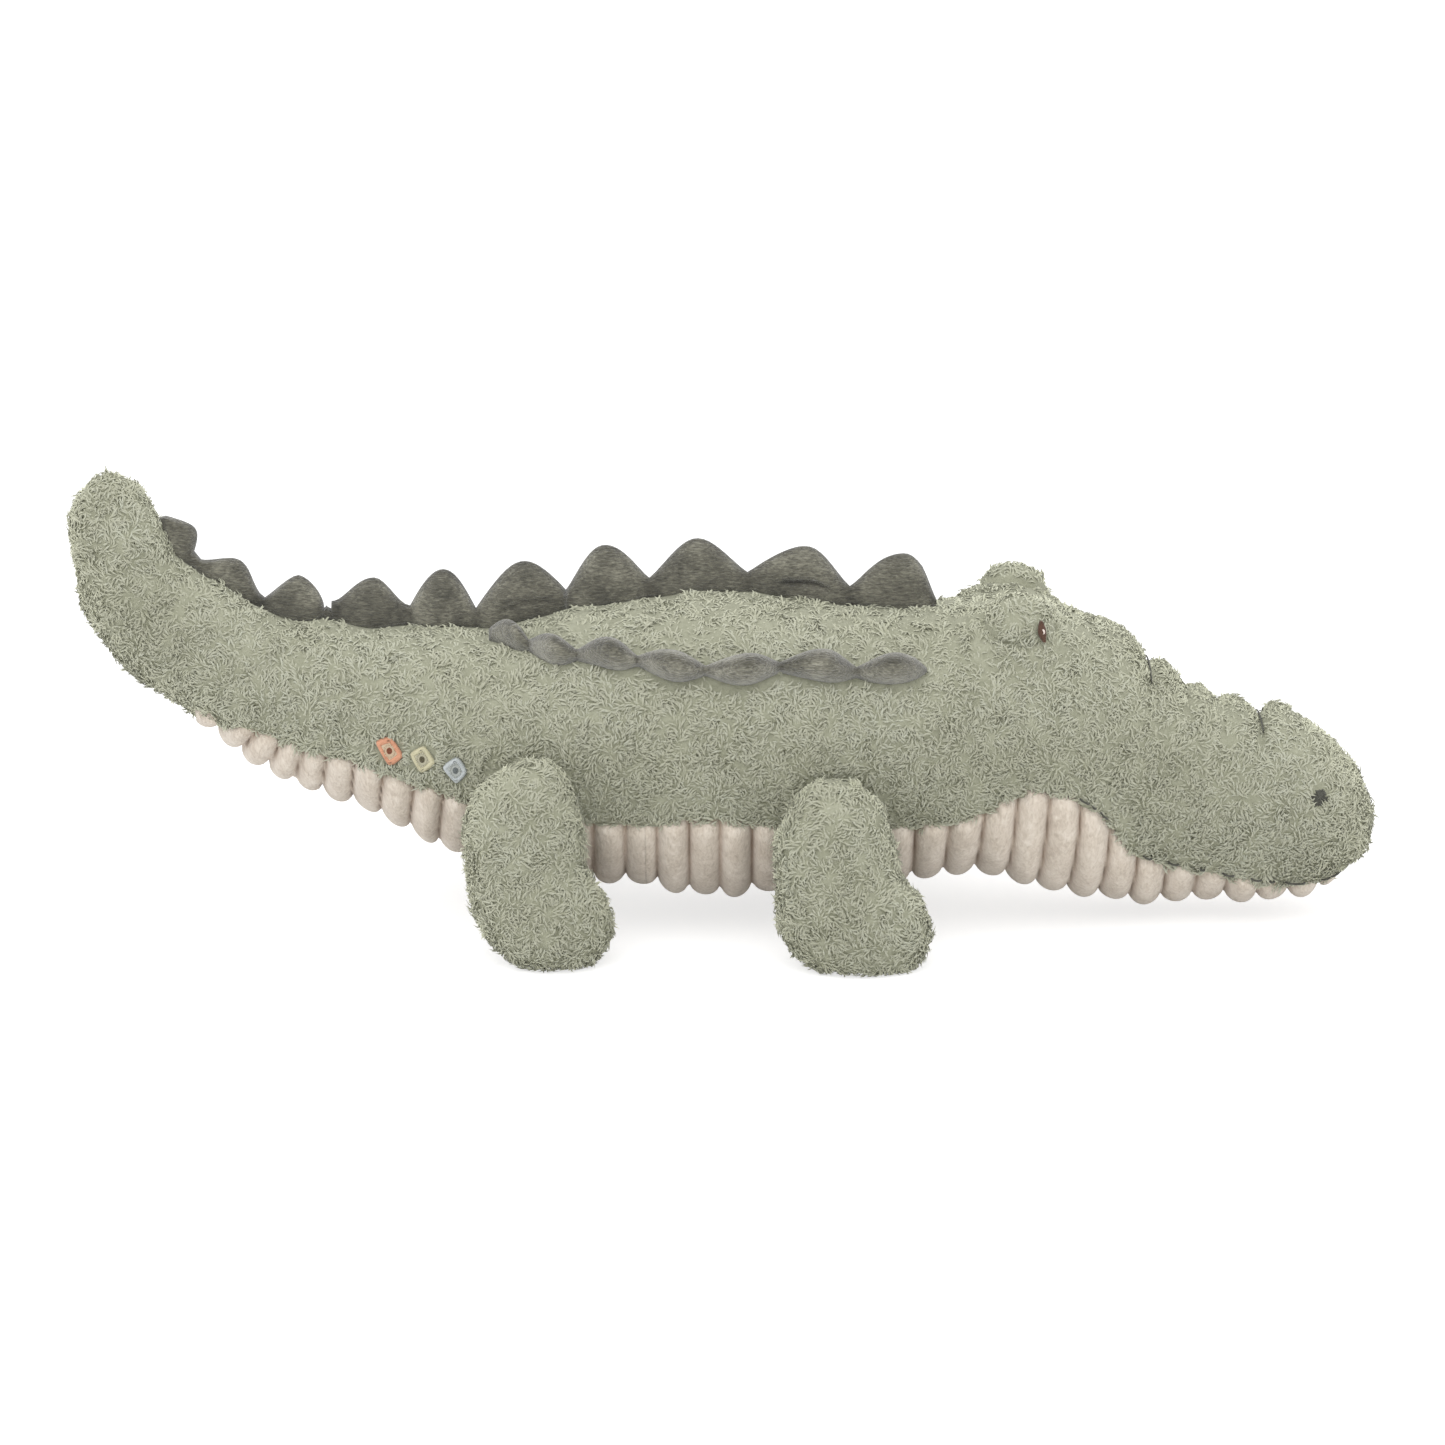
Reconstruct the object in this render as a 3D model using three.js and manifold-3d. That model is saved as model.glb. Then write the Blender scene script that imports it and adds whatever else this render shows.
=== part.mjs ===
// A stuffed toy crocodile that stands on four short legs with its tail swept up.
// Millimetres, +Z up. The nose points along +X, the animal's left is +Y, and the
// origin lies on the ground under the middle of the toy.
//
// Every sewn part is a pile skin, a ribbed cream panel under it and a lump of
// fibre filling inside. Head and tail turn on the trunk as a ball in a socket, the
// way the soft seams let them, and each leg swings at its hip.

import * as THREE from 'three';
import { mergeVertices } from 'three/addons/utils/BufferGeometryUtils.js';
import Module from 'manifold-3d';

const wasm = await Module();
wasm.setup();

// Driving dimensions of the whole toy
const overallLength = 600;
const backHeight = 156;
const bodyWidth = 144;
const tailRise = 109;

// Skin, panel and seams
const skinThickness = 5;
const clearance = 0.3;
const overrun = 400;
const ribPitch = 14.8;
const ribDepth = 3;

// Snout
const tuckDepth = 5;
const eyeBumpLength = 37;
const eyeBumpWidth = 34;
const eyeHeight = 10;
const eyeWidth = 5.5;
const nostrilLength = 8;
const nostrilHeight = 6;

// Stitched thread and embroidery
const threadThickness = 0.5;
const threadWidth = 1.4;
const mouthStitchPitch = 11;
const tuckStitchSpan = 46;
const diamondWidth = 12.5;
const diamondBand = 2.8;

// Legs: a rounded thigh against the flank, and a foot that points forward
const hindLegHeight = 95.2;
const hindLegLength = 66;
const frontLegHeight = 87.1;
const frontLegLength = 71;
const legThickness = 50;
const legSink = 10;
const soleCut = 0.5;
const legGap = 0.9;
const legSwingDegrees = 15;

// Padded strips on the back and the flanks
const stripSink = 5;
const ridgeThickness = 12;
const ridgeHeight = 24;
const scuteThickness = 14;
const scuteHeight = 12;

// Fineness of the surfaces
const bodySides = 16;
const legSides = 10;
const ballSegments = 32;
const ringsPerRib = 3;
const swingSteps = 2;
const seamFineness = 2;
const outlineSegments = 4;
const widestRing = 28;

// Trunk and head from the tail's root to the nose: place along the length, top and
// bottom as shares of the back's height, and width as a share of the body's width.
const bodyShares = [
  [-0.299, 0.910, 0.358, 0.590],
  [-0.202, 0.888, 0.194, 0.778],
  [-0.141, 0.923, 0.119, 0.889],
  [-0.078, 0.971, 0.102, 0.944],
  [-0.017, 0.998, 0.077, 1.000],
  [0.045, 0.989, 0.074, 1.000],
  [0.107, 0.952, 0.093, 0.972],
  [0.168, 0.956, 0.124, 0.917],
  [0.198, 0.968, 0.142, 0.903],
  [0.245, 0.964, 0.080, 0.861],
  [0.275, 0.928, 0.065, 0.806],
  [0.307, 0.866, 0.045, 0.722],
  [0.337, 0.778, 0.034, 0.639],
  [0.368, 0.712, 0.040, 0.597],
  [0.398, 0.660, 0.040, 0.583],
  [0.430, 0.634, 0.048, 0.569],
  [0.460, 0.574, 0.070, 0.528],
  [0.483, 0.485, 0.132, 0.400],
  [0.495, 0.410, 0.185, 0.270],
  [0.4995, 0.345, 0.250, 0.110],
];

// Tail from its root to its blunt tip: place along the length, share of the rise,
// and thickness as a share of the root's.
const tailShares = [
  [-0.337, 0.076, 0.870],
  [-0.379, 0.200, 0.750],
  [-0.423, 0.362, 0.705],
  [-0.4522, 0.550, 0.634],
  [-0.4642, 0.771, 0.508],
  [-0.4667, 0.902, 0.384],
  [-0.4665, 0.970, 0.230],
  [-0.4662, 0.995, 0.080],
];

// Side seam between pile skin and cream panel: place along the length and share of
// the back's height.
const seamShares = [
  [-0.404, 0.648],
  [-0.386, 0.616],
  [-0.355, 0.600],
  [-0.325, 0.556],
  [-0.298, 0.534],
  [-0.273, 0.520],
  [-0.248, 0.482],
  [-0.198, 0.431],
  [-0.078, 0.370],
  [-0.017, 0.391],
  [0.060, 0.372],
  [0.137, 0.356],
  [0.183, 0.377],
  [0.202, 0.410],
  [0.218, 0.446],
  [0.245, 0.468],
  [0.260, 0.444],
  [0.275, 0.417],
  [0.292, 0.357],
  [0.307, 0.276],
  [0.322, 0.224],
  [0.337, 0.201],
  [0.368, 0.173],
  [0.398, 0.147],
  [0.445, 0.115],
  [0.480, 0.135],
];

// Ball joints: place of the pivot and of the seam along the length, and the pivot's
// share of the back's height.
const neckPivotShare = 0.098;
const neckSeamShare = 0.175;
const neckHeightShare = 0.538;
const tailPivotShare = -0.233;
const tailSeamShare = -0.297;
const tailHeightShare = 0.577;

// Snout tucks along the length, and the depth of each as a share of the deepest
const tuckPlaceShares = [0.327, 0.355, 0.382, 0.414];
const tuckDepthShares = [0.8, 0.6, 0.6, 1];
const tuckReachShare = 0.011;

// Legs, from the sole up: height share, forward shift and length as shares of the
// leg's length, and thickness share.
const hindHipShare = -0.143;
const hindLegShares = [
  [0.000, 0.150, 0.380, 0.40],
  [0.030, 0.144, 0.650, 0.70],
  [0.135, 0.115, 0.900, 0.94],
  [0.262, 0.065, 1.000, 1.00],
  [0.358, 0.014, 0.950, 0.98],
  [0.474, -0.040, 0.870, 0.94],
  [0.641, -0.058, 0.885, 0.90],
  [0.817, -0.053, 0.740, 0.76],
  [0.925, 0.000, 0.480, 0.52],
  [0.990, 0.020, 0.160, 0.18],
];
const frontHipShare = 0.087;
const frontLegShares = [
  [0.000, 0.210, 0.420, 0.40],
  [0.035, 0.155, 0.760, 0.74],
  [0.190, 0.111, 1.000, 0.96],
  [0.350, 0.066, 0.975, 1.00],
  [0.485, 0.007, 0.857, 0.96],
  [0.695, -0.025, 0.780, 0.88],
  [0.860, -0.016, 0.610, 0.72],
  [0.950, -0.025, 0.390, 0.46],
  [0.990, -0.030, 0.170, 0.20],
];
const hipHeightShare = 0.79;
const footSpreadShare = 0.16;
const footMiddleShare = 0.5;

// Humps of the back ridge and of the tail ridge along the toy: start, apex, end, and
// height as a share of the tallest.
const backRidgeShares = [
  [-0.2950, -0.2620, -0.2430, 0.86],
  [-0.2430, -0.2135, -0.1890, 1.00],
  [-0.1890, -0.1560, -0.1240, 1.04],
  [-0.1240, -0.0905, -0.0560, 1.04],
  [-0.0560, -0.0205, 0.0190, 0.89],
  [0.0190, 0.0650, 0.0975, 0.90],
  [0.0975, 0.1390, 0.1640, 0.95],
];
const tailRidgeShares = [
  [-0.524, -0.503, -0.480, 0.44],
  [-0.462, -0.435, -0.398, 0.44],
  [-0.388, -0.371, -0.325, 0.76],
];
const ridgeValleyShare = 0.28;
const tailValleyShare = 0.16;

// Lumps of the scute strip on each flank, in the same terms
const scuteShares = [
  [-0.178, -0.160, -0.147, 0.80],
  [-0.147, -0.128, -0.110, 0.90],
  [-0.110, -0.083, -0.064, 1.00],
  [-0.064, -0.034, -0.013, 1.00],
  [-0.013, 0.018, 0.043, 1.00],
  [0.043, 0.078, 0.101, 1.00],
  [0.101, 0.131, 0.154, 0.96],
];
const scuteValleyShare = 0.28;
const scuteWaistShare = 0.32;

// Line that the scute strip is sewn along: place along the length, and angle up from
// the side as a share of a quarter turn.
const scuteLineShares = [
  [-0.178, 0.822],
  [-0.165, 0.778],
  [-0.130, 0.606],
  [-0.086, 0.525],
  [-0.037, 0.442],
  [0.015, 0.422],
  [0.071, 0.472],
  [0.128, 0.469],
  [0.154, 0.467],
];

// Face, as places along the length and angles round the head
const eyeBumpShare = 0.225;
const eyeBumpDegrees = 63;
const eyeTurnDegrees = 52;
const eyeLiftDegrees = -5;
const nostrilShare = 0.462;
const nostrilDegrees = 22;
const mouthStartShare = 0.27;
const mouthEndShare = 0.478;

// Diamonds on the right flank: place along the length and share of the back's height
const diamondShares = {
  orange_diamond: [-0.2572, 0.573],
  yellow_diamond: [-0.2318, 0.553],
  blue_diamond: [-0.2068, 0.528],
};

const roundness = 2.2;

// Value of a column at a place, on a smooth curve through the rows of a table.
function along(table, place, column) {
  let row = 0;
  while (row < table.length - 2 && place > table[row + 1][0]) row += 1;
  const [before, start, end, after] = [row - 1, row, row + 1, row + 2].map(
    (index) => table[Math.min(Math.max(index, 0), table.length - 1)],
  );
  const span = end[0] - start[0];
  const share = Math.min(Math.max((place - start[0]) / span, 0), 1);
  const startSlope = ((end[column] - before[column]) / (end[0] - before[0])) * span;
  const endSlope = ((after[column] - start[column]) / (after[0] - start[0])) * span;
  return (
    (2 * share ** 3 - 3 * share ** 2 + 1) * start[column] +
    (share ** 3 - 2 * share ** 2 + share) * startSlope +
    (3 * share ** 2 - 2 * share ** 3) * end[column] +
    (share ** 3 - share ** 2) * endSlope
  );
}

// Sections of the whole toy from the tail's tip to the nose. Each row holds the
// distance along the toy, the section's centre, its lean, and its half sizes.
function sectionTable() {
  const body = bodyShares.map(([place, top, bottom, width]) => [
    place * overallLength,
    place * overallLength,
    ((top + bottom) / 2) * backHeight,
    0,
    (width / 2) * bodyWidth,
    ((top - bottom) / 2) * backHeight,
  ]);
  const root = body[0];
  const spine = [root].concat(
    tailShares.map(([place, rise, girth]) => [
      0,
      place * overallLength,
      root[2] + rise * tailRise,
      0,
      girth * root[4],
      girth * root[5],
    ]),
  );
  for (let index = 1; index < spine.length; index += 1) {
    const [previous, here] = [spine[index - 1], spine[index]];
    const next = spine[Math.min(index + 1, spine.length - 1)];
    here[0] = previous[0] - Math.hypot(here[1] - previous[1], here[2] - previous[2]);
    here[3] = Math.atan2(next[2] - previous[2], previous[1] - next[1]);
  }
  return spine.slice(1).reverse().concat(body);
}

const sections = sectionTable();

function sectionAt(place) {
  const [x, z, lean, halfWidth, halfHeight] = [1, 2, 3, 4, 5].map((column) =>
    along(sections, place, column),
  );
  return { x, z, lean, halfWidth, halfHeight };
}

// Sink of the snout's top where a tuck stitch draws it in
function tuckSink(place) {
  return tuckPlaceShares.reduce((sink, share, index) => {
    const distance = (place - share * overallLength) / (tuckReachShare * overallLength);
    return sink + tuckDepth * tuckDepthShares[index] * Math.exp(-(distance ** 2));
  }, 0);
}

// Point on the toy's outline: a rounded section, drawn in at the tucks
function surfacePoint(place, angle, inset = 0) {
  const { x, z, lean, halfWidth, halfHeight } = sectionAt(place);
  const soft = (value) => Math.sign(value) * Math.abs(value) ** (2 / roundness);
  const side = soft(Math.cos(angle)) * (halfWidth - inset);
  const drop = tuckSink(place) * Math.max(Math.sin(angle), 0) ** 2;
  const up = soft(Math.sin(angle)) * (halfHeight - inset) - drop;
  return new THREE.Vector3(x + up * Math.sin(lean), side, z + up * Math.cos(lean));
}

// Closed surface through rings of points, each end closed by a fan to its centre
function loft(rings) {
  const sides = rings[0].length;
  const points = rings.flat();
  const faces = [];
  for (let ring = 0; ring < rings.length - 1; ring += 1) {
    for (let side = 0; side < sides; side += 1) {
      const [a, b] = [ring * sides + side, ring * sides + ((side + 1) % sides)];
      faces.push(a, b, a + sides, b, b + sides, a + sides);
    }
  }
  for (const [ring, turned] of [[0, true], [rings.length - 1, false]]) {
    const centre = new THREE.Vector3();
    rings[ring].forEach((point) => centre.addScaledVector(point, 1 / sides));
    points.push(centre);
    for (let side = 0; side < sides; side += 1) {
      const [a, b] = [ring * sides + side, ring * sides + ((side + 1) % sides)];
      faces.push(...(turned ? [b, a] : [a, b]), points.length - 1);
    }
  }
  const geometry = new THREE.BufferGeometry().setFromPoints(points);
  geometry.setIndex(faces);
  return geometry;
}

// Same surface moved outwards, or inwards where the distance is negative
function grown(geometry, distance) {
  const moved = geometry.clone();
  moved.computeVertexNormals();
  const { position, normal } = moved.attributes;
  const turn = Math.sign(signedVolume(moved)) * distance;
  for (let index = 0; index < position.count; index += 1) {
    position.setXYZ(
      index,
      position.getX(index) + normal.getX(index) * turn,
      position.getY(index) + normal.getY(index) * turn,
      position.getZ(index) + normal.getZ(index) * turn,
    );
  }
  return moved;
}

function signedVolume(geometry) {
  const corner = (index) =>
    new THREE.Vector3().fromBufferAttribute(geometry.attributes.position, index);
  const { array } = geometry.index;
  let total = 0;
  for (let face = 0; face < array.length; face += 3) {
    const [a, b, c] = [array[face], array[face + 1], array[face + 2]].map(corner);
    total += a.dot(b.cross(c));
  }
  return total / 6;
}

// Solid for joining and cutting, with its faces turned outwards
function solid(geometry) {
  const bare = geometry.clone();
  bare.deleteAttribute('normal');
  bare.deleteAttribute('uv');
  const merged = mergeVertices(bare, 1e-4);
  const triVerts = Uint32Array.from(merged.index.array);
  if (signedVolume(merged) < 0) {
    for (let face = 0; face < triVerts.length; face += 3) {
      [triVerts[face], triVerts[face + 1]] = [triVerts[face + 1], triVerts[face]];
    }
  }
  const vertProperties = Float32Array.from(merged.attributes.position.array);
  return new wasm.Manifold(new wasm.Mesh({ numProp: 3, vertProperties, triVerts }));
}

const joined = (solids) => solids.reduce((whole, piece) => whole.add(piece));

// Prism of an outline drawn in the XZ plane, reaching from a plane of Y towards -Y
function sidePrism(outline, startY, depth) {
  const geometry = new THREE.ExtrudeGeometry(outline, {
    depth,
    curveSegments: outlineSegments,
    bevelEnabled: false,
  });
  geometry.rotateX(Math.PI / 2);
  geometry.translate(0, startY, 0);
  return geometry;
}

function mirrored(geometry) {
  return geometry.clone().scale(1, -1, 1);
}

// Whole toy as one smooth surface, which every part is cut from

function ringPlaces() {
  const [first, last] = [sections[0][0], sections[sections.length - 1][0]];
  const snout = bodyShares[11][0] * overallLength;
  const rows = sections.map((row) => row[0]);
  const places = [];
  rows.forEach((place, index) => {
    if (place >= snout) return;
    places.push(place);
    const next = rows[index + 1];
    if (next - place > widestRing) places.push((place + next) / 2);
  });
  const tucks = tuckPlaceShares.map((share) => share * overallLength);
  tucks.forEach((place, index) => {
    const next = tucks[Math.min(index + 1, tucks.length - 1)];
    places.push(place, (place + next) / 2);
  });
  places.push(...rows.filter((place) => place > tucks[tucks.length - 1]));
  places.push(snout);
  const ordered = [...new Set(places)].sort((a, b) => a - b);
  return ordered.filter((place) => place >= first && place <= last);
}

function bodyRing(place, sides, inset = 0) {
  return Array.from({ length: sides }, (_, side) =>
    surfacePoint(place, (side / sides) * 2 * Math.PI, inset),
  );
}

const bodySurface = loft(ringPlaces().map((place) => bodyRing(place, bodySides)));
const fillingSurface = loft(ringPlaces().map((place) => bodyRing(place, bodySides / 2)));

// Toy grown by a distance, for seats and linings
const bodyGrown = (distance) => solid(grown(bodySurface, distance));

const bodyOuter = bodyGrown(0);
const bodyHollow = bodyGrown(-skinThickness);
const bodyStuffing = solid(grown(fillingSurface, -skinThickness - clearance));
const bodySeat = bodyGrown(clearance);
const bodyThread = bodyGrown(clearance + threadThickness);

// Underside quilted in round ribs with sharp grooves between them, spaced evenly
// along its lower line
function ribbedSurface() {
  const start = seamShares[0][0] * overallLength - ribPitch;
  const end = seamShares.at(-1)[0] * overallLength;
  const low = (place) => surfacePoint(place, -Math.PI / 2);
  const rings = [];
  let place = start;
  for (let step = 0; place < end + ribPitch; step += 1) {
    const groove = 1 - Math.abs(Math.sin((step / ringsPerRib) * Math.PI));
    rings.push(bodyRing(Math.min(place, sections.at(-1)[0]), bodySides, groove * ribDepth));
    const stretch = low(place + clearance).distanceTo(low(place)) / clearance;
    place += ribPitch / ringsPerRib / Math.max(stretch, 1);
  }
  return loft(rings);
}

// Space under the side seam, which the cream panels fill
function underSeam(margin) {
  const [rear, front] = [seamShares[0][0], seamShares.at(-1)[0]];
  const count = seamFineness * seamShares.length;
  const edge = Array.from({ length: count + 1 }, (_, step) => {
    const place = rear + ((front - rear) * step) / count;
    const spread = margin * ((2 * step) / count - 1);
    return new THREE.Vector2(
      place * overallLength + spread,
      along(seamShares, place, 1) * backHeight + margin,
    );
  });
  edge.push(new THREE.Vector2(edge.at(-1).x, -overrun), new THREE.Vector2(edge[0].x, -overrun));
  return solid(sidePrism(new THREE.Shape(edge), overrun, 2 * overrun));
}

// Ball joints: the trunk ends in two balls, and the head and tail have the sockets

function jointAt(pivotShare, seamShare, heightShare) {
  const centre = [pivotShare * overallLength, 0, heightShare * backHeight];
  const rim = surfacePoint(seamShare * overallLength, Math.PI / 2);
  const radius = Math.hypot(rim.x - centre[0], rim.z - centre[2]);
  return { centre, radius };
}

function ball({ centre, radius }) {
  const geometry = new THREE.SphereGeometry(radius, ballSegments, ballSegments / 2);
  geometry.rotateX(Math.PI / 2);
  geometry.translate(...centre);
  return solid(geometry);
}

// Socket that clears the ball's corners at every turn
function socket({ centre, radius }) {
  const wide = (radius + clearance) / Math.cos(Math.PI / ballSegments);
  return ball({ centre, radius: wide });
}

// Everything on one side of a place along the length
function halfSpace(place, direction) {
  const geometry = new THREE.BoxGeometry(2 * overrun, 2 * overrun, 2 * overrun);
  geometry.translate(place + direction * overrun, 0, 0);
  return solid(geometry);
}

const neck = jointAt(neckPivotShare, neckSeamShare, neckHeightShare);
const tailRoot = jointAt(tailPivotShare, tailSeamShare, tailHeightShare);

const headZone = halfSpace(neck.centre[0], 1).subtract(socket(neck));
const tailZone = halfSpace(tailRoot.centre[0], -1).subtract(socket(tailRoot));
const trunkZone = halfSpace(neck.centre[0], -1)
  .add(ball(neck))
  .intersect(halfSpace(tailRoot.centre[0], 1).add(ball(tailRoot)));

const pileShell = bodyOuter.subtract(bodyHollow).subtract(underSeam(clearance));
const panelShell = solid(ribbedSurface()).subtract(bodyHollow).intersect(underSeam(0));

// Legs

const legs = [
  {
    name: 'hind',
    shares: hindLegShares,
    hip: hindHipShare,
    height: hindLegHeight,
    length: hindLegLength,
  },
  {
    name: 'front',
    shares: frontLegShares,
    hip: frontHipShare,
    height: frontLegHeight,
    length: frontLegLength,
  },
];

// Leg surface on the left side, from the sole up, with its foot set outwards
function legSurface({ shares, hip, height, length }) {
  const hipX = hip * overallLength;
  const flank = sectionAt(hipX).halfWidth;
  const middle = flank - legSink + legThickness / 2;
  const rings = shares.map(([rise, forward, reach, girth]) => {
    const spread = (footMiddleShare - rise) * footSpreadShare * legThickness;
    return Array.from({ length: legSides }, (_, side) => {
      const angle = (side / legSides) * 2 * Math.PI;
      return new THREE.Vector3(
        hipX + forward * length + (Math.cos(angle) * reach * length) / 2,
        middle + spread + (Math.sin(angle) * girth * legThickness) / 2,
        rise * height - soleCut,
      );
    });
  });
  return loft(rings);
}

// Trunk turned about the hip through the whole swing, so that the leg clears it
function sweptTrunk({ hip, height }) {
  const turned = [];
  for (let step = 0; step <= swingSteps; step += 1) {
    const swing = THREE.MathUtils.degToRad(legSwingDegrees * ((2 * step) / swingSteps - 1));
    const [hipX, hipZ] = [hip * overallLength, hipHeightShare * height];
    const geometry = grown(bodySurface, legGap);
    geometry.translate(-hipX, 0, -hipZ);
    geometry.rotateY(swing);
    geometry.translate(hipX, 0, hipZ);
    turned.push(solid(geometry));
  }
  return joined(turned);
}

function aboveGround() {
  const geometry = new THREE.BoxGeometry(2 * overrun, 2 * overrun, 2 * overrun);
  geometry.translate(0, 0, overrun);
  return solid(geometry);
}

function legSolids(leg, left) {
  const surface = left ? legSurface(leg) : mirrored(legSurface(leg));
  const room = aboveGround().subtract(sweptTrunk(leg));
  return {
    skin: solid(surface).subtract(solid(grown(surface, -skinThickness))).intersect(room),
    filling: solid(grown(surface, -skinThickness - clearance)).intersect(room),
  };
}

// Padded strips: a row of humps that stands on a line over the body

// Rings on each side of a hump, as shares of the climb to its apex
const climbShares = [0, 0.5, 0.88];
const humpFullness = 1.25;
const ridgeWaistShare = 0.55;

// Height of a strip over its line, part of the way up a hump
function humpHeight([, , , share], valley, peak, climb) {
  const lift = Math.sin((Math.PI / 2) * climb) ** humpFullness;
  return peak * (valley + (share - valley) * lift);
}

// Strip section: full cheeks under a narrow sewn edge, as shares across and up
const stripOutlineShares = [
  [-0.50, 0.20],
  [-0.36, 0.68],
  [0.00, 1.00],
  [0.36, 0.68],
  [0.50, 0.20],
];

function paddedStrip({ humps, valley, waist, peak, thickness }, lineAt) {
  const rings = [];
  humps.forEach((hump, index) => {
    const [start, apex, end] = hump;
    const rise = climbShares.map((climb) => [start + (apex - start) * climb, climb]);
    const fall = climbShares.map((climb) => [end + (apex - end) * climb, climb]).reverse();
    if (index < humps.length - 1) fall.pop();
    for (const [place, climb] of rise.concat(fall)) {
      const { foot, up, across } = lineAt(place * overallLength);
      const height = humpHeight(hump, valley, peak, climb);
      const full = (height / peak - valley) / (1 - valley);
      const width = thickness * (waist + (1 - waist) * full);
      const outline = stripOutlineShares.map(([side, rise]) =>
        foot.clone().addScaledVector(across, side * width).addScaledVector(up, rise * height),
      );
      outline.push(foot.clone().addScaledVector(up, -stripSink));
      rings.push(outline);
    }
  });
  return solid(loft(rings)).subtract(bodySeat);
}

function spineLine(place) {
  const { lean } = sectionAt(place);
  return {
    foot: surfacePoint(place, Math.PI / 2),
    up: new THREE.Vector3(Math.sin(lean), 0, Math.cos(lean)),
    across: new THREE.Vector3(0, 1, 0),
  };
}

// Line round the flank: near the spine at the rear, and lower from the middle on
function flankLine(side) {
  return (place) => {
    const angle = (along(scuteLineShares, place / overallLength, 1) * Math.PI) / 2;
    const foot = surfacePoint(place, angle);
    foot.y *= side;
    const up = new THREE.Vector3(0, side * Math.cos(angle), Math.sin(angle));
    return { foot, up, across: new THREE.Vector3(0, -side * up.z, side * up.y) };
  };
}

// Face

function eyeBumpSurface(side) {
  const centre = surfacePoint(eyeBumpShare * overallLength, THREE.MathUtils.degToRad(eyeBumpDegrees));
  const geometry = mergeVertices(sphereCore(12, 7));
  geometry.rotateX(Math.PI / 2);
  geometry.scale(eyeBumpLength / 2, eyeBumpWidth / 2, eyeBumpWidth / 2);
  geometry.translate(centre.x, side * centre.y, centre.z);
  return geometry;
}

function sphereCore(around, upward) {
  const geometry = new THREE.SphereGeometry(1, around, upward);
  geometry.deleteAttribute('normal');
  geometry.deleteAttribute('uv');
  return geometry;
}

// Outline stood on the head and looking out along a direction from a point
function outwardPrism(outline, from, turn, lift, reach) {
  const geometry = new THREE.ExtrudeGeometry(outline, {
    depth: reach,
    curveSegments: outlineSegments,
    bevelEnabled: false,
  });
  geometry.rotateX(Math.PI / 2);
  geometry.rotateZ(Math.PI);
  geometry.rotateX(lift);
  geometry.rotateZ(turn);
  geometry.translate(from.x, from.y, from.z);
  return geometry;
}

function almond(width, height) {
  const outline = new THREE.Shape();
  outline.moveTo(0, -height / 2);
  outline.quadraticCurveTo(width, 0, 0, height / 2);
  outline.quadraticCurveTo(-width, 0, 0, -height / 2);
  return outline;
}

function eyeSolid(side) {
  const bump = eyeBumpSurface(side);
  const centre = new THREE.Vector3();
  bump.computeBoundingBox();
  bump.boundingBox.getCenter(centre);
  const turn = side * (Math.PI / 2 - THREE.MathUtils.degToRad(90 - eyeTurnDegrees));
  const lift = THREE.MathUtils.degToRad(eyeLiftDegrees);
  const prism = solid(
    outwardPrism(almond(eyeWidth, eyeHeight), centre, turn - Math.PI / 2, lift, eyeBumpLength),
  );
  const pad = solid(grown(bump, clearance + threadThickness)).add(bodyThread);
  return prism.intersect(pad).subtract(solid(grown(bump, clearance))).subtract(bodySeat);
}

function nostrilSolid(side) {
  const angle = THREE.MathUtils.degToRad(nostrilDegrees);
  const place = nostrilShare * overallLength;
  const { x, z } = sectionAt(place);
  const outline = new THREE.Shape();
  outline.absellipse(0, 0, nostrilLength / 2, nostrilHeight / 2, 0, 2 * Math.PI);
  const middle = new THREE.Vector3(x, 0, z);
  const turn = side > 0 ? 0 : Math.PI;
  const prism = solid(outwardPrism(outline, middle, turn, angle, overrun));
  return prism.intersect(bodyThread).subtract(bodySeat);
}

// Line of stitches just over the seam, from the corner of the mouth to the chin
function mouthSolid(side) {
  const [start, end] = [mouthStartShare * overallLength, mouthEndShare * overallLength];
  const count = Math.round((end - start) / mouthStitchPitch);
  const lower = Array.from({ length: count + 1 }, (_, step) => {
    const place = start + ((end - start) * step) / count;
    const seam = along(seamShares, place / overallLength, 1) * backHeight;
    return new THREE.Vector2(place, seam + threadWidth);
  });
  const upper = lower.map(({ x, y }) => new THREE.Vector2(x, y + threadWidth)).reverse();
  const prism = sidePrism(new THREE.Shape(lower.concat(upper)), 0, overrun);
  const placed = solid(side > 0 ? mirrored(prism) : prism);
  return placed.intersect(bodyThread).subtract(bodySeat);
}

// Thread that draws the snout in across a tuck
function tuckStitch(index) {
  const place = tuckPlaceShares[index] * overallLength;
  const geometry = new THREE.BoxGeometry(threadWidth, tuckStitchSpan, overrun);
  geometry.translate(place, 0, sectionAt(place).z + overrun / 2);
  return solid(geometry).intersect(bodyThread).subtract(bodySeat);
}

// Embroidered diamond: a band of stitches round a gap
function diamondSolid([placeShare, heightShare]) {
  const [x, z] = [placeShare * overallLength, heightShare * backHeight];
  const rhombus = (shape, half) => {
    shape.moveTo(x - half, z);
    shape.lineTo(x, z - half);
    shape.lineTo(x + half, z);
    shape.lineTo(x, z + half);
    shape.closePath();
    return shape;
  };
  const band = rhombus(new THREE.Shape(), diamondWidth / 2);
  band.holes.push(rhombus(new THREE.Path(), diamondWidth / 2 - diamondBand));
  return solid(sidePrism(band, 0, overrun)).intersect(bodyThread).subtract(bodySeat);
}

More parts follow.
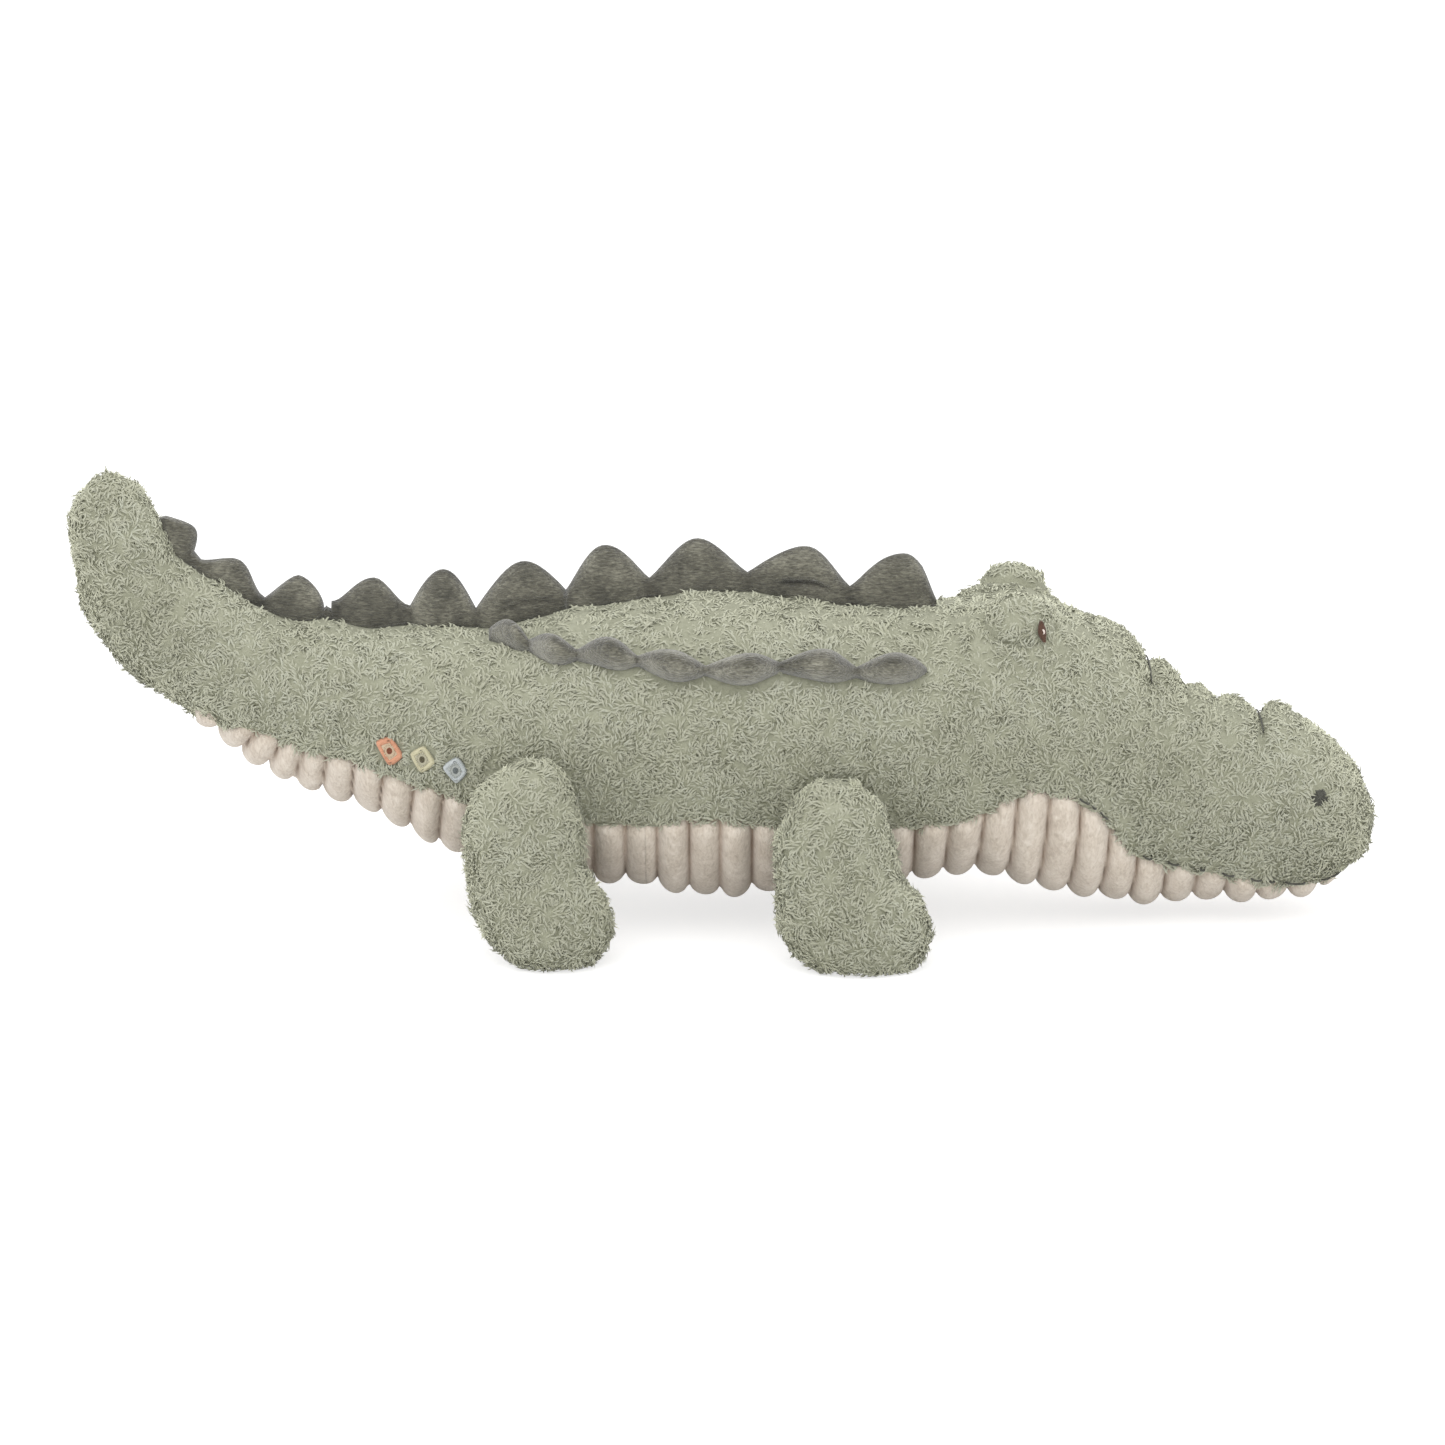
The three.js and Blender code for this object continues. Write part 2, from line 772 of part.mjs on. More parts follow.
// Colours and finish of the materials
const finishes = {
  pile: ['#a1a28f', 1],
  velour: ['#bbae9e', 0.9],
  velboa: ['#73736a', 0.85],
  fibre: ['#efece4', 1],
  darkThread: ['#4b4b4b', 0.7],
  brownThread: ['#6d4a33', 0.7],
  orangeThread: ['#cf8a68', 0.7],
  yellowThread: ['#b3ab7c', 0.7],
  blueThread: ['#9aa5ab', 0.7],
};

const toy = new THREE.Group();

function addPiece(name, piece, finish, parent = toy) {
  const { vertProperties, triVerts } = piece.getMesh();
  const geometry = new THREE.BufferGeometry();
  geometry.setAttribute('position', new THREE.BufferAttribute(vertProperties, 3));
  geometry.setIndex(new THREE.BufferAttribute(triVerts, 1));
  geometry.computeVertexNormals();
  const [color, roughness] = finishes[finish];
  const material = new THREE.MeshStandardMaterial({ color, roughness, metalness: 0 });
  const mesh = new THREE.Mesh(geometry, material);
  mesh.name = name;
  parent.add(mesh);
}

// Trunk, head and tail
const zones = [
  ['trunk', 'trunk_belly_panel', trunkZone],
  ['head', 'jaw_panel', headZone],
  ['tail', 'tail_belly_panel', tailZone],
];
for (const [name, panelName, zone] of zones) {
  const part = new THREE.Group();
  addPiece(`${name}_skin`, pileShell.intersect(zone), 'pile', part);
  addPiece(panelName, panelShell.intersect(zone), 'velour', part);
  addPiece(`${name}_filling`, bodyStuffing.intersect(zone), 'fibre', part);
  toy.add(part);
}

for (const leg of legs) {
  for (const side of ['right', 'left']) {
    const { skin, filling } = legSolids(leg, side === 'left');
    addPiece(`${leg.name}_${side}_leg_skin`, skin, 'pile');
    addPiece(`${leg.name}_${side}_leg_filling`, filling, 'fibre');
  }
}

const ridge = { waist: ridgeWaistShare, peak: ridgeHeight, thickness: ridgeThickness };
const backRidge = { ...ridge, humps: backRidgeShares, valley: ridgeValleyShare };
const tailRidge = { ...ridge, humps: tailRidgeShares, valley: tailValleyShare };
const scutes = {
  humps: scuteShares,
  valley: scuteValleyShare,
  waist: scuteWaistShare,
  peak: scuteHeight,
  thickness: scuteThickness,
};
addPiece('back_ridge', paddedStrip(backRidge, spineLine), 'velboa');
addPiece('tail_ridge', paddedStrip(tailRidge, spineLine), 'velboa');

for (const [name, side] of [['right', -1], ['left', 1]]) {
  addPiece(`${name}_scute_strip`, paddedStrip(scutes, flankLine(side)), 'velboa');
  addPiece(`${name}_eye_bump`, solid(eyeBumpSurface(side)).subtract(bodySeat), 'pile');
  addPiece(`${name}_eye`, eyeSolid(side), 'brownThread');
  addPiece(`${name}_nostril`, nostrilSolid(side), 'darkThread');
  addPiece(`${name}_mouth_stitching`, mouthSolid(side), 'darkThread');
}
addPiece('rear_tuck_stitch', tuckStitch(0), 'darkThread');
addPiece('front_tuck_stitch', tuckStitch(tuckPlaceShares.length - 1), 'darkThread');

for (const [name, place] of Object.entries(diamondShares)) {
  addPiece(name, diamondSolid(place), name.replace('_diamond', 'Thread'));
}

export default toy;
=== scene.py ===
"""A stuffed toy crocodile, standing on four short legs with its tail swept up.

Metres, +Z up, the nose along +X and the animal's left along +Y. The sewn parts
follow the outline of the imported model, and the curled pile grows out of it.
"""

import math

import bpy
import numpy as np
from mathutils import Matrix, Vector, noise


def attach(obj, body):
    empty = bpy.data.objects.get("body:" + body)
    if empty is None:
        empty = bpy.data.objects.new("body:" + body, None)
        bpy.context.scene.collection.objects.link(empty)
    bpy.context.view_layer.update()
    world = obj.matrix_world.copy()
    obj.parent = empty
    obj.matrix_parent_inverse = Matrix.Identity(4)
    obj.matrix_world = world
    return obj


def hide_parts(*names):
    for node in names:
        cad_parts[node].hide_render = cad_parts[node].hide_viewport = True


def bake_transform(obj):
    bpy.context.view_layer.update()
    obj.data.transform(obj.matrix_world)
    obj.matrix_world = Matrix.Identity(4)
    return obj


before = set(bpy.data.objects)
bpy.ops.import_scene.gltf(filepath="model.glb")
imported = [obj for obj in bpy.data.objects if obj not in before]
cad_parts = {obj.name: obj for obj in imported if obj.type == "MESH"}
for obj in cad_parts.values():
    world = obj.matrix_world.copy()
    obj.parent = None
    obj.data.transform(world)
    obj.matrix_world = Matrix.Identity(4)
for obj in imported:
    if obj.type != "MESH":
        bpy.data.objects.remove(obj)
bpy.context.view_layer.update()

bpy.ops.object.select_all(action="DESELECT")
scene = bpy.context.scene
scene.view_settings.view_transform = "Standard"


# Camera, floor and light: a long lens a little above the toy, on a white table under
# an even white sky and one wide soft lamp.

view_width = 0.6685
view_lift = math.radians(15)
lens = 135.0
sensor = 36.0
aim = Vector((0, 0, 0.0903))
reach = view_width * lens / sensor
view_way = Vector((0, -math.cos(view_lift), math.sin(view_lift)))
bpy.ops.object.camera_add(location=aim + reach * view_way)
camera = bpy.context.object
camera.name = "camera"
camera.rotation_euler = (math.pi / 2 - view_lift, 0, 0)
camera.data.lens = lens
camera.data.sensor_width = sensor
scene.camera = camera

bpy.ops.object.light_add(type="AREA", location=(-0.5, -1.3, 2.2))
lamp = bpy.context.object
lamp.name = "soft_lamp"
lamp.data.shape = "DISK"
lamp.data.size = 2.0
lamp.data.energy = 18
lamp.rotation_euler = (aim - lamp.location).to_track_quat("-Z", "Y").to_euler()


def add_node(tree, kind, **values):
    """A new node, with its named settings and input values."""
    made = tree.nodes.new(kind)
    for name, value in values.items():
        if name in made.inputs:
            made.inputs[name].default_value = value
        else:
            setattr(made, name, value)
    return made


def join(tree, *links):
    """Makes links, each from a node and its output to a node and its input."""
    for start, output, end, entry in links:
        tree.links.new(start.outputs[output], end.inputs[entry])


def white_to_eye(tree):
    """A node that is 1 where the camera, a gloss or a glass looks, and 0 elsewhere."""
    path = add_node(tree, "ShaderNodeLightPath")
    gloss = add_node(tree, "ShaderNodeMath", operation="MAXIMUM")
    seen = add_node(tree, "ShaderNodeMath", operation="MAXIMUM")
    join(tree, (path, "Is Glossy Ray", gloss, 0), (path, "Is Transmission Ray", gloss, 1))
    join(tree, (gloss, 0, seen, 0), (path, "Is Camera Ray", seen, 1))
    return seen


sky_strength = 1.27
sky = bpy.data.worlds.new("even_sky")
scene.world = sky
sky.use_nodes = True
tree = sky.node_tree
tree.nodes.clear()
soft_sky = add_node(tree, "ShaderNodeBackground", Color=(1, 1, 1, 1), Strength=sky_strength)
white_sky = add_node(tree, "ShaderNodeBackground", Color=(1, 1, 1, 1), Strength=1.0)
choice = add_node(tree, "ShaderNodeMixShader")
output = add_node(tree, "ShaderNodeOutputWorld")
join(tree, (white_to_eye(tree), 0, choice, 0), (soft_sky, 0, choice, 1))
join(tree, (white_sky, 0, choice, 2), (choice, 0, output, "Surface"))

table_side = 60.0
table_drop = 0.0002
bpy.ops.mesh.primitive_plane_add(size=table_side, location=(0, 0, -table_drop))
table = bpy.context.object
table.name = "table"
table_finish = bpy.data.materials.new("table_white")
table_finish.use_nodes = True
tree = table_finish.node_tree
tree.nodes.clear()
matt = add_node(tree, "ShaderNodeBsdfDiffuse", Color=(0.88, 0.88, 0.88, 1))
glow = add_node(tree, "ShaderNodeEmission", Strength=0.68)
shade = add_node(tree, "ShaderNodeBsdfDiffuse", Color=(0.50, 0.50, 0.50, 1))
bright = add_node(tree, "ShaderNodeAddShader")
choice = add_node(tree, "ShaderNodeMixShader")
output = add_node(tree, "ShaderNodeOutputMaterial")
join(tree, (glow, 0, bright, 0), (shade, 0, bright, 1), (bright, 0, choice, 2))
join(tree, (white_to_eye(tree), 0, choice, 0), (matt, 0, choice, 1))
join(tree, (choice, 0, output, "Surface"))
table.data.materials.append(table_finish)


# Pile skin of the body: a knitted backing sewn to a long tube, stuffed until it
# swells, and drawn in by hand at the snout. Head and tail are one tube with the trunk.

toy_length = 0.600
back_height = 0.156
body_width = 0.144
tail_rise = 0.109

# Place along the length, top, bottom and width, as shares
body_shares = np.array([
    [-0.299, 0.910, 0.358, 0.590],
    [-0.202, 0.888, 0.194, 0.778],
    [-0.141, 0.923, 0.119, 0.889],
    [-0.078, 0.971, 0.102, 0.944],
    [-0.017, 0.998, 0.077, 1.000],
    [0.045, 0.989, 0.074, 1.000],
    [0.107, 0.952, 0.093, 0.972],
    [0.168, 0.956, 0.124, 0.917],
    [0.198, 0.968, 0.142, 0.903],
    [0.245, 0.964, 0.080, 0.861],
    [0.275, 0.928, 0.065, 0.806],
    [0.307, 0.866, 0.045, 0.722],
    [0.337, 0.778, 0.034, 0.639],
    [0.368, 0.712, 0.040, 0.597],
    [0.398, 0.660, 0.040, 0.583],
    [0.430, 0.634, 0.048, 0.569],
    [0.460, 0.574, 0.070, 0.528],
    [0.483, 0.485, 0.132, 0.400],
    [0.495, 0.410, 0.185, 0.270],
    [0.4995, 0.345, 0.250, 0.110],
])

# Tail: place along the length, share of the rise and share of the root's girth
tail_shares = np.array([
    [-0.337, 0.076, 0.870],
    [-0.379, 0.200, 0.750],
    [-0.423, 0.362, 0.705],
    [-0.4522, 0.550, 0.634],
    [-0.4642, 0.771, 0.508],
    [-0.4667, 0.902, 0.384],
    [-0.4665, 0.970, 0.230],
    [-0.4662, 0.995, 0.080],
])

# Side seam between the pile and the cream panel: place and share of the height
seam_shares = np.array([
    [-0.404, 0.648],
    [-0.386, 0.616],
    [-0.355, 0.600],
    [-0.325, 0.556],
    [-0.298, 0.534],
    [-0.273, 0.520],
    [-0.248, 0.482],
    [-0.198, 0.431],
    [-0.078, 0.370],
    [-0.017, 0.391],
    [0.060, 0.372],
    [0.137, 0.356],
    [0.183, 0.377],
    [0.202, 0.410],
    [0.218, 0.446],
    [0.245, 0.468],
    [0.260, 0.444],
    [0.275, 0.417],
    [0.292, 0.357],
    [0.307, 0.276],
    [0.322, 0.224],
    [0.337, 0.201],
    [0.368, 0.173],
    [0.398, 0.147],
    [0.445, 0.115],
    [0.480, 0.135],
])

# Snout tucks: place along the length, and depth as a share of the deepest
tuck_place_shares = np.array([0.327, 0.355, 0.382, 0.414])
tuck_depth_shares = np.array([0.8, 0.6, 0.6, 1.0])
tuck_depth = 0.0074
tuck_reach = 0.0046

roundness = 2.2
end_dome = 0.0012
neck_fold_place = 0.112
neck_fold_depth = 0.0030
neck_fold_reach = 0.0060
neck_fold_low = 0.060
neck_fold_high = 0.125
neck_fold_fade = 0.02
lump_depth = 0.0008


def along(rows, place, column):
    """A column at each place, on a smooth curve through the rows."""
    last = len(rows) - 1
    row = np.clip(np.searchsorted(rows[:, 0], place) - 1, 0, last - 1)
    before, start, end, after = (rows[np.clip(row + step, 0, last)] for step in (-1, 0, 1, 2))
    span = end[..., 0] - start[..., 0]
    share = np.clip((place - start[..., 0]) / span, 0, 1)
    start_slope = (end[..., column] - before[..., column]) / (end[..., 0] - before[..., 0]) * span
    end_slope = (after[..., column] - start[..., column]) / (after[..., 0] - start[..., 0]) * span
    return (
        (2 * share**3 - 3 * share**2 + 1) * start[..., column]
        + (share**3 - 2 * share**2 + share) * start_slope
        + (3 * share**2 - 2 * share**3) * end[..., column]
        + (share**3 - share**2) * end_slope
    )


def section_rows():
    """Rows of distance along the toy, centre x and z, lean, half width, half height."""
    body = [
        [place * toy_length, place * toy_length, (top + bottom) / 2 * back_height, 0,
         width / 2 * body_width, (top - bottom) / 2 * back_height]
        for place, top, bottom, width in body_shares
    ]
    root = body[0]
    spine = [root] + [
        [0, place * toy_length, root[2] + rise * tail_rise, 0, girth * root[4], girth * root[5]]
        for place, rise, girth in tail_shares
    ]
    for index in range(1, len(spine)):
        previous, here = spine[index - 1], spine[index]
        after = spine[min(index + 1, len(spine) - 1)]
        here[0] = previous[0] - math.hypot(here[1] - previous[1], here[2] - previous[2])
        here[3] = math.atan2(after[2] - previous[2], previous[1] - after[1])
    return np.array(spine[:0:-1] + body)


sections = section_rows()
tail_tip, nose_tip = sections[0, 0], sections[-1, 0]


def seam_height(x):
    """Height of the side seam at places along the toy."""
    return along(seam_shares, x / toy_length, 1) * back_height


def stuffing_swell(place, angle):
    """Slow waves from -2 to 2 along and round the toy, where the stuffing lies unevenly."""
    wave = np.sin(place * 173 + 2 * np.cos(angle * 2)) * np.sin(angle * 3 + place * 61)
    return wave + np.sin(place * 97 - angle * 2 + 1.7)


def toy_point(place, angle, inset=0.0):
    """Points on the toy's outline, moved inwards, with a round end at tail and nose."""
    held = np.clip(place, tail_tip, nose_tip)
    past = np.clip(np.abs(place - held) / end_dome, 0, 1)
    close = np.sqrt(1 - past**2)
    x, z, lean, half_width, half_height = (along(sections, held, column) for column in range(1, 6))
    soft = lambda value: np.sign(value) * np.abs(value) ** (2 / roundness)
    drop = sum(
        tuck_depth * depth * np.exp(-(((place - share * toy_length) / tuck_reach) ** 2))
        for share, depth in zip(tuck_place_shares, tuck_depth_shares)
    )
    sunk = inset + lump_depth * stuffing_swell(place, angle)
    side = soft(np.cos(angle)) * (half_width - sunk) * close
    pressed = drop * np.maximum(np.sin(angle), 0) ** 2
    up = (soft(np.sin(angle)) * (half_height - sunk) - pressed) * close
    height = z + up
    fold = np.exp(-(((place - neck_fold_place) / neck_fold_reach) ** 2))
    for within in (height - neck_fold_low, neck_fold_high - height):
        fold = fold * np.clip(within / neck_fold_fade, 0, 1)
    side = side - np.sign(side) * neck_fold_depth * fold
    forward = place - held
    x = x + up * np.sin(lean) + forward * np.cos(lean)
    z = z + up * np.cos(lean) - forward * np.sin(lean)
    return np.stack([x, side, z], axis=-1)


def shell(rings, hoop=False):
    """Points and outward faces through rings of points: capped at both ends, or a hoop."""
    count, sides = rings.shape[:2]
    points = rings.reshape(-1, 3)
    spans = count if hoop else count - 1
    ring, side = np.indices((spans, sides)).reshape(2, -1)
    a, b = ring * sides + side, ring * sides + (side + 1) % sides
    up = (ring + 1) % count * sides
    faces = np.stack([a, b, up + (side + 1) % sides, up + side], axis=1).tolist()
    if not hoop:
        first, start = len(points), (count - 1) * sides
        points = np.concatenate([points, rings[[0, -1]].mean(axis=1)])
        faces += [[(k + 1) % sides, k, first] for k in range(sides)]
        faces += [[start + k, start + (k + 1) % sides, first + 1] for k in range(sides)]
    volume = 0
    for face in faces:
        for second, third in zip(face[1:-1], face[2:]):
            volume += np.dot(points[face[0]], np.cross(points[second], points[third]))
    if volume < 0:
        faces = [face[::-1] for face in faces]
    return points, faces


def add_object(name, mesh):
    """Puts a mesh in the scene as a new object."""
    made = bpy.data.objects.new(name, mesh)
    scene.collection.objects.link(made)
    return made


def mesh_piece(name, shells, fold=None):
    """One object made of closed shells, with an optional share of painted shade and seam line at its
    points, kept as the "fold" attribute.
    """
    points, faces = [], []
    for more_points, more_faces in shells:
        offset = sum(len(part) for part in points)
        points.append(more_points)
        faces += [[corner + offset for corner in face] for face in more_faces]
    mesh = bpy.data.meshes.new(name)
    mesh.from_pydata(np.concatenate(points).tolist(), [], faces)
    mesh.shade_smooth()
    if fold is not None:
        seam_line_and_shade = mesh.attributes.new("fold", "FLOAT", "POINT")
        values = np.zeros(len(mesh.vertices), np.float32)
        values[: fold.size] = fold.ravel()
        seam_line_and_shade.data.foreach_set("value", values)
    return add_object(name, mesh)


def loft(name, rings, fold=None):
    """One object through rings of points, closed at both ends."""
    return mesh_piece(name, [shell(rings)], fold)


def linear(red, green, blue):
    """A colour seen as 0 to 255 on a screen, as light."""
    shares = np.array([red, green, blue]) / 255
    light = np.where(shares <= 0.04045, shares / 12.92, ((shares + 0.055) / 1.055) ** 2.4)
    return (*light.tolist(), 1.0)


def nap_group():
    """Short fibre nap on Object coordinates: a slow shade, a fine shade and a height."""
    group = bpy.data.node_groups.new("short_nap", "ShaderNodeTree")
    add_socket = group.interface.new_socket
    add_socket("Stretch", in_out="INPUT", socket_type="NodeSocketVector")
    for label in ("Patch", "Fibre"):
        add_socket(label, in_out="INPUT", socket_type="NodeSocketFloat")
    for label in ("Slow", "Fine", "Height"):
        add_socket(label, in_out="OUTPUT", socket_type="NodeSocketFloat")
    given = add_node(group, "NodeGroupInput")
    place = add_node(group, "ShaderNodeTexCoord")
    stretched = add_node(group, "ShaderNodeVectorMath", operation="MULTIPLY")
    slow = add_node(group, "ShaderNodeTexNoise", Detail=3.0, Roughness=0.6)
    fine = add_node(group, "ShaderNodeTexNoise", Detail=4.0, Roughness=0.65, Distortion=0.6)
    both = add_node(group, "ShaderNodeMix", data_type="FLOAT", Factor=0.8)
    result = add_node(group, "NodeGroupOutput")
    join(group, (place, "Object", slow, "Vector"), (place, "Object", stretched, 0))
    join(group, (given, "Stretch", stretched, 1), (stretched, 0, fine, "Vector"))
    join(group, (given, "Patch", slow, "Scale"), (given, "Fibre", fine, "Scale"))
    join(group, (slow, "Fac", both, 2), (fine, "Fac", both, 3), (both, 0, result, "Height"))
    join(group, (slow, "Fac", result, "Slow"), (fine, "Fac", result, "Fine"))
    return group


short_nap = nap_group()


def ramp(tree, stops):
    """A colour ramp through (place, colour) stops."""
    made = add_node(tree, "ShaderNodeValToRGB")
    elements = made.color_ramp.elements
    while len(elements) < len(stops):
        elements.new(0.5)
    for element, (place, colour) in zip(elements, stops):
        element.position = place
        element.color = colour
    return made


def new_finish(name, settings):
    """A new material, its node tree and its shader, with the shader's settings."""
    finish = bpy.data.materials.new(name)
    finish.use_nodes = True
    shader = finish.node_tree.nodes["Principled BSDF"]
    for label, value in settings.items():
        shader.inputs[label].default_value = value
    return finish, finish.node_tree, shader


def nap_cloth(name, shades, stretch, patch, fibre, sheen, depth, painted_shade_tint=(1, 1, 1, 1), spread=0.16):
    """A short-napped cloth: its shade drifts in patches and breaks up along the fibres."""
    cloth, tree, shader = new_finish(name, {
        "Roughness": 0.9,
        "Specular IOR Level": 0.15,
        "Sheen Weight": sheen,
        "Sheen Roughness": 0.55,
    })
    nap = add_node(
        tree, "ShaderNodeGroup", node_tree=short_nap, Stretch=stretch, Patch=patch, Fibre=fibre
    )
    mixed = add_node(tree, "ShaderNodeMix", data_type="FLOAT", Factor=0.6)
    stops = zip((0.5 - spread, 0.5, 0.5 + spread), shades)
    shade = ramp(tree, [(stop, linear(*seen)) for stop, seen in stops])
    bump = add_node(tree, "ShaderNodeBump", Strength=1.0, Distance=depth)
    # Painted shade: where the "fold" attribute is set, the colour is multiplied towards the crease
    # tint, for shade in grooves, pinches and folds, and for a dark seam line along the ridges' sewn
    # edge.
    fold = add_node(tree, "ShaderNodeAttribute", attribute_name="fold")
    painted_shade_mix = add_node(tree, "ShaderNodeMix", data_type="RGBA", blend_type="MULTIPLY")
    painted_shade_mix.inputs[7].default_value = painted_shade_tint
    join(tree, (nap, "Slow", mixed, 2), (nap, "Fine", mixed, 3), (mixed, 0, shade, "Fac"))
    join(tree, (fold, "Fac", painted_shade_mix, "Factor"), (shade, "Color", painted_shade_mix, 6))
    join(tree, (painted_shade_mix, 2, shader, "Base Color"), (nap, "Height", bump, "Height"))
    join(tree, (bump, "Normal", shader, "Normal"))
    return cloth


def sew(piece, cloth, holder, replaced=()):
    """Gives a piece its cloth and hides the solids it replaces; ties it to its body, or bakes its place
    in where a bend is given.
    """
    piece.data.materials.append(cloth)
    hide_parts(*replaced)
    if isinstance(holder, dict):
        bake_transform(piece)
    else:
        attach(piece, holder)


tail_bend = {"a": "trunk", "b": "tail", "start": (-0.140, 0, 0.090), "end": (-0.225, 0, 0.105)}
neck_bend = {"a": "trunk", "b": "head", "start": (0.060, 0, 0.084), "end": (0.125, 0, 0.084)}
rib_pitch = 0.0148
ribs_behind_split = 14
panel_start = seam_shares[0, 0] * toy_length
body_split = panel_start + ribs_behind_split * rib_pitch
backing_inset = 0.0026
tuck_under = 0.0075
tuck_fade = 0.004
behind_panel = 0.05
backing = nap_cloth(
    "pile_backing", ((134, 135, 116), (146, 147, 128), (158, 159, 140)),
    stretch=(1, 1, 1), patch=45.0, fibre=420.0, sheen=0.1, depth=0.0008,
)


def seam_side(points):
    """Height of points over the side seam, and far above it behind the cream panel."""
    over = points[..., 2] - seam_height(points[..., 0])
    return np.where(points[..., 0] < panel_start, behind_panel + np.abs(over), over)


def ease(value):
    """Rises smoothly from 0 to 1 as a value goes from 0 to 1."""
    share = np.clip(value, 0, 1)
    return share * share * (3 - 2 * share)


def around(count):
    """Angles spread evenly round a full turn."""
    return np.linspace(0, 2 * math.pi, count, endpoint=False)


def body_rings(places, sides, inset):
    """Rings of points round the body at places along it."""
    place, angle = np.meshgrid(places, around(sides), indexing="ij")
    return toy_point(place, angle, inset)


def dome_places(tip, direction):
    """Places over a round end, from its foot to its tip."""
    turns = np.radians([0, 25, 45, 60, 72, 82, 88])
    return tip + direction * end_dome * np.sin(turns)


# The skin rises in a soft slope round the foot of each eye bump
eye_bump_place = 0.225 * toy_length
eye_bump_angle = math.radians(63)
eye_bump_half = np.array([0.0185, 0.0165, 0.0165])
bump_fillet = 0.0040
fillet_reach = 1.65
fillet_fade = 0.75
fillet_height = 0.010
bump_foot = toy_point(np.array([eye_bump_place]), np.array([eye_bump_angle]))[0]


def unit(vectors):
    """Vectors at a length of 1."""
    return vectors / np.maximum(np.linalg.norm(vectors, axis=-1, keepdims=True), 1e-12)


def bump_centre(side):
    """Middle of an eye bump, on the right for -1 and on the left for 1."""
    return bump_foot * np.array([1, side, 1])


def near_bump(points):
    """How near points are to a bump: 1 on it, falling to 0 a little way off."""
    near = np.zeros(points.shape[:-1])
    for side in (-1, 1):
        offset = (points - bump_centre(side)) / eye_bump_half
        near = np.maximum(near, ease((fillet_reach - np.linalg.norm(offset, axis=-1)) / fillet_fade))
    return near


def toy_normal(points):
    """Rough direction out of the body at points on the head."""
    middle = along(sections, points[..., 0], 2)
    return unit(np.stack([np.zeros_like(middle), points[..., 1], points[..., 2] - middle], axis=-1))


def near_foot(points):
    """1 where a bump meets the head, falling to 0 towards its top."""
    sides = np.sign(points * [0, 1, 0] + [1, 0, 1])
    height = np.einsum("...j,...j->...", points - bump_foot * sides, toy_normal(points))
    return ease(1 - height / fillet_height)


def swollen(points):
    """Points on the head raised into a soft slope round the eye bumps."""
    return points + bump_fillet * near_bump(points)[..., None] * toy_normal(points)


body_sides = 72
ring_step = 0.0035
tail_dome = dome_places(tail_tip, -1)[::-1]
nose_dome = dome_places(nose_tip, 1)
rear_places = np.concatenate([tail_dome, np.arange(tail_tip, body_split, ring_step)[1:], [body_split]])
front_places = np.concatenate([np.arange(body_split, nose_tip, ring_step), nose_dome])
halves = [("rear", tail_bend, rear_places), ("front", neck_bend, front_places)]
skin_nodes = {"rear": ("trunk_skin", "tail_skin"), "front": ("head_skin",)}
for half, bend, places in halves:
    rings = body_rings(places, body_sides, backing_inset)
    deeper = body_rings(places, body_sides, backing_inset + tuck_under)
    hidden = ease(-seam_side(rings) / tuck_fade)[..., None]
    piece = loft(f"{half}_pile_skin", swollen(rings * (1 - hidden) + deeper * hidden))
    sew(piece, backing, bend, skin_nodes[half])


# Fibre filling: loose white fibre, teased out and packed tight by hand through a gap in
# the seam until the tube is firm.

filling_inset = 0.012
filling_sides = 24
filling_tail_gap = 0.04
filling_nose_gap = 0.02
fibre_fill = nap_cloth(
    "white_fibre", ((214, 211, 203), (231, 228, 220), (242, 240, 233)),
    stretch=(1, 1, 1), patch=30.0, fibre=160.0, sheen=0.1, depth=0.002,
)
filling_nodes = {"rear": ("trunk_filling", "tail_filling"), "front": ("head_filling",)}
for half, bend, places in halves:
    within = (places > tail_tip + filling_tail_gap) & (places < nose_tip - filling_nose_gap)
    piece = loft(f"{half}_filling", body_rings(places[within][::3], filling_sides, filling_inset))
    sew(piece, fibre_fill, bend, filling_nodes[half])


# Cream panel under tail, belly and jaw: soft velour quilted in round ribs, sewn to
# the pile along the side seam.

panel_sides = 96
samples_per_rib = 14
rib_depth = 0.0068
rib_roundness = 2.0
rib_swell = 0.0005
panel_tuck_margin = 0.001
panel_tuck_fade = 0.005
panel_nodes = {"rear": ("trunk_belly_panel", "tail_belly_panel"), "front": ("jaw_panel",)}
# The velour's crease tint is painted shade for the grooves between the ribs.
velour = nap_cloth(
    "cream_velour", ((176, 163, 148), (201, 190, 176), (219, 210, 198)),
    stretch=(1, 1, 0.3), patch=90.0, fibre=800.0, sheen=0.3, depth=0.0008,
    painted_shade_tint=(0.58, 0.48, 0.42, 1),
)
panel_end = seam_shares[-1, 0] * toy_length

# Lean of the ribs up the flank, at places along the length
rib_lean_places = [-0.14, -0.08, 0.06, 0.12]
rib_leans = [0.17, 0, 0, 0.06]

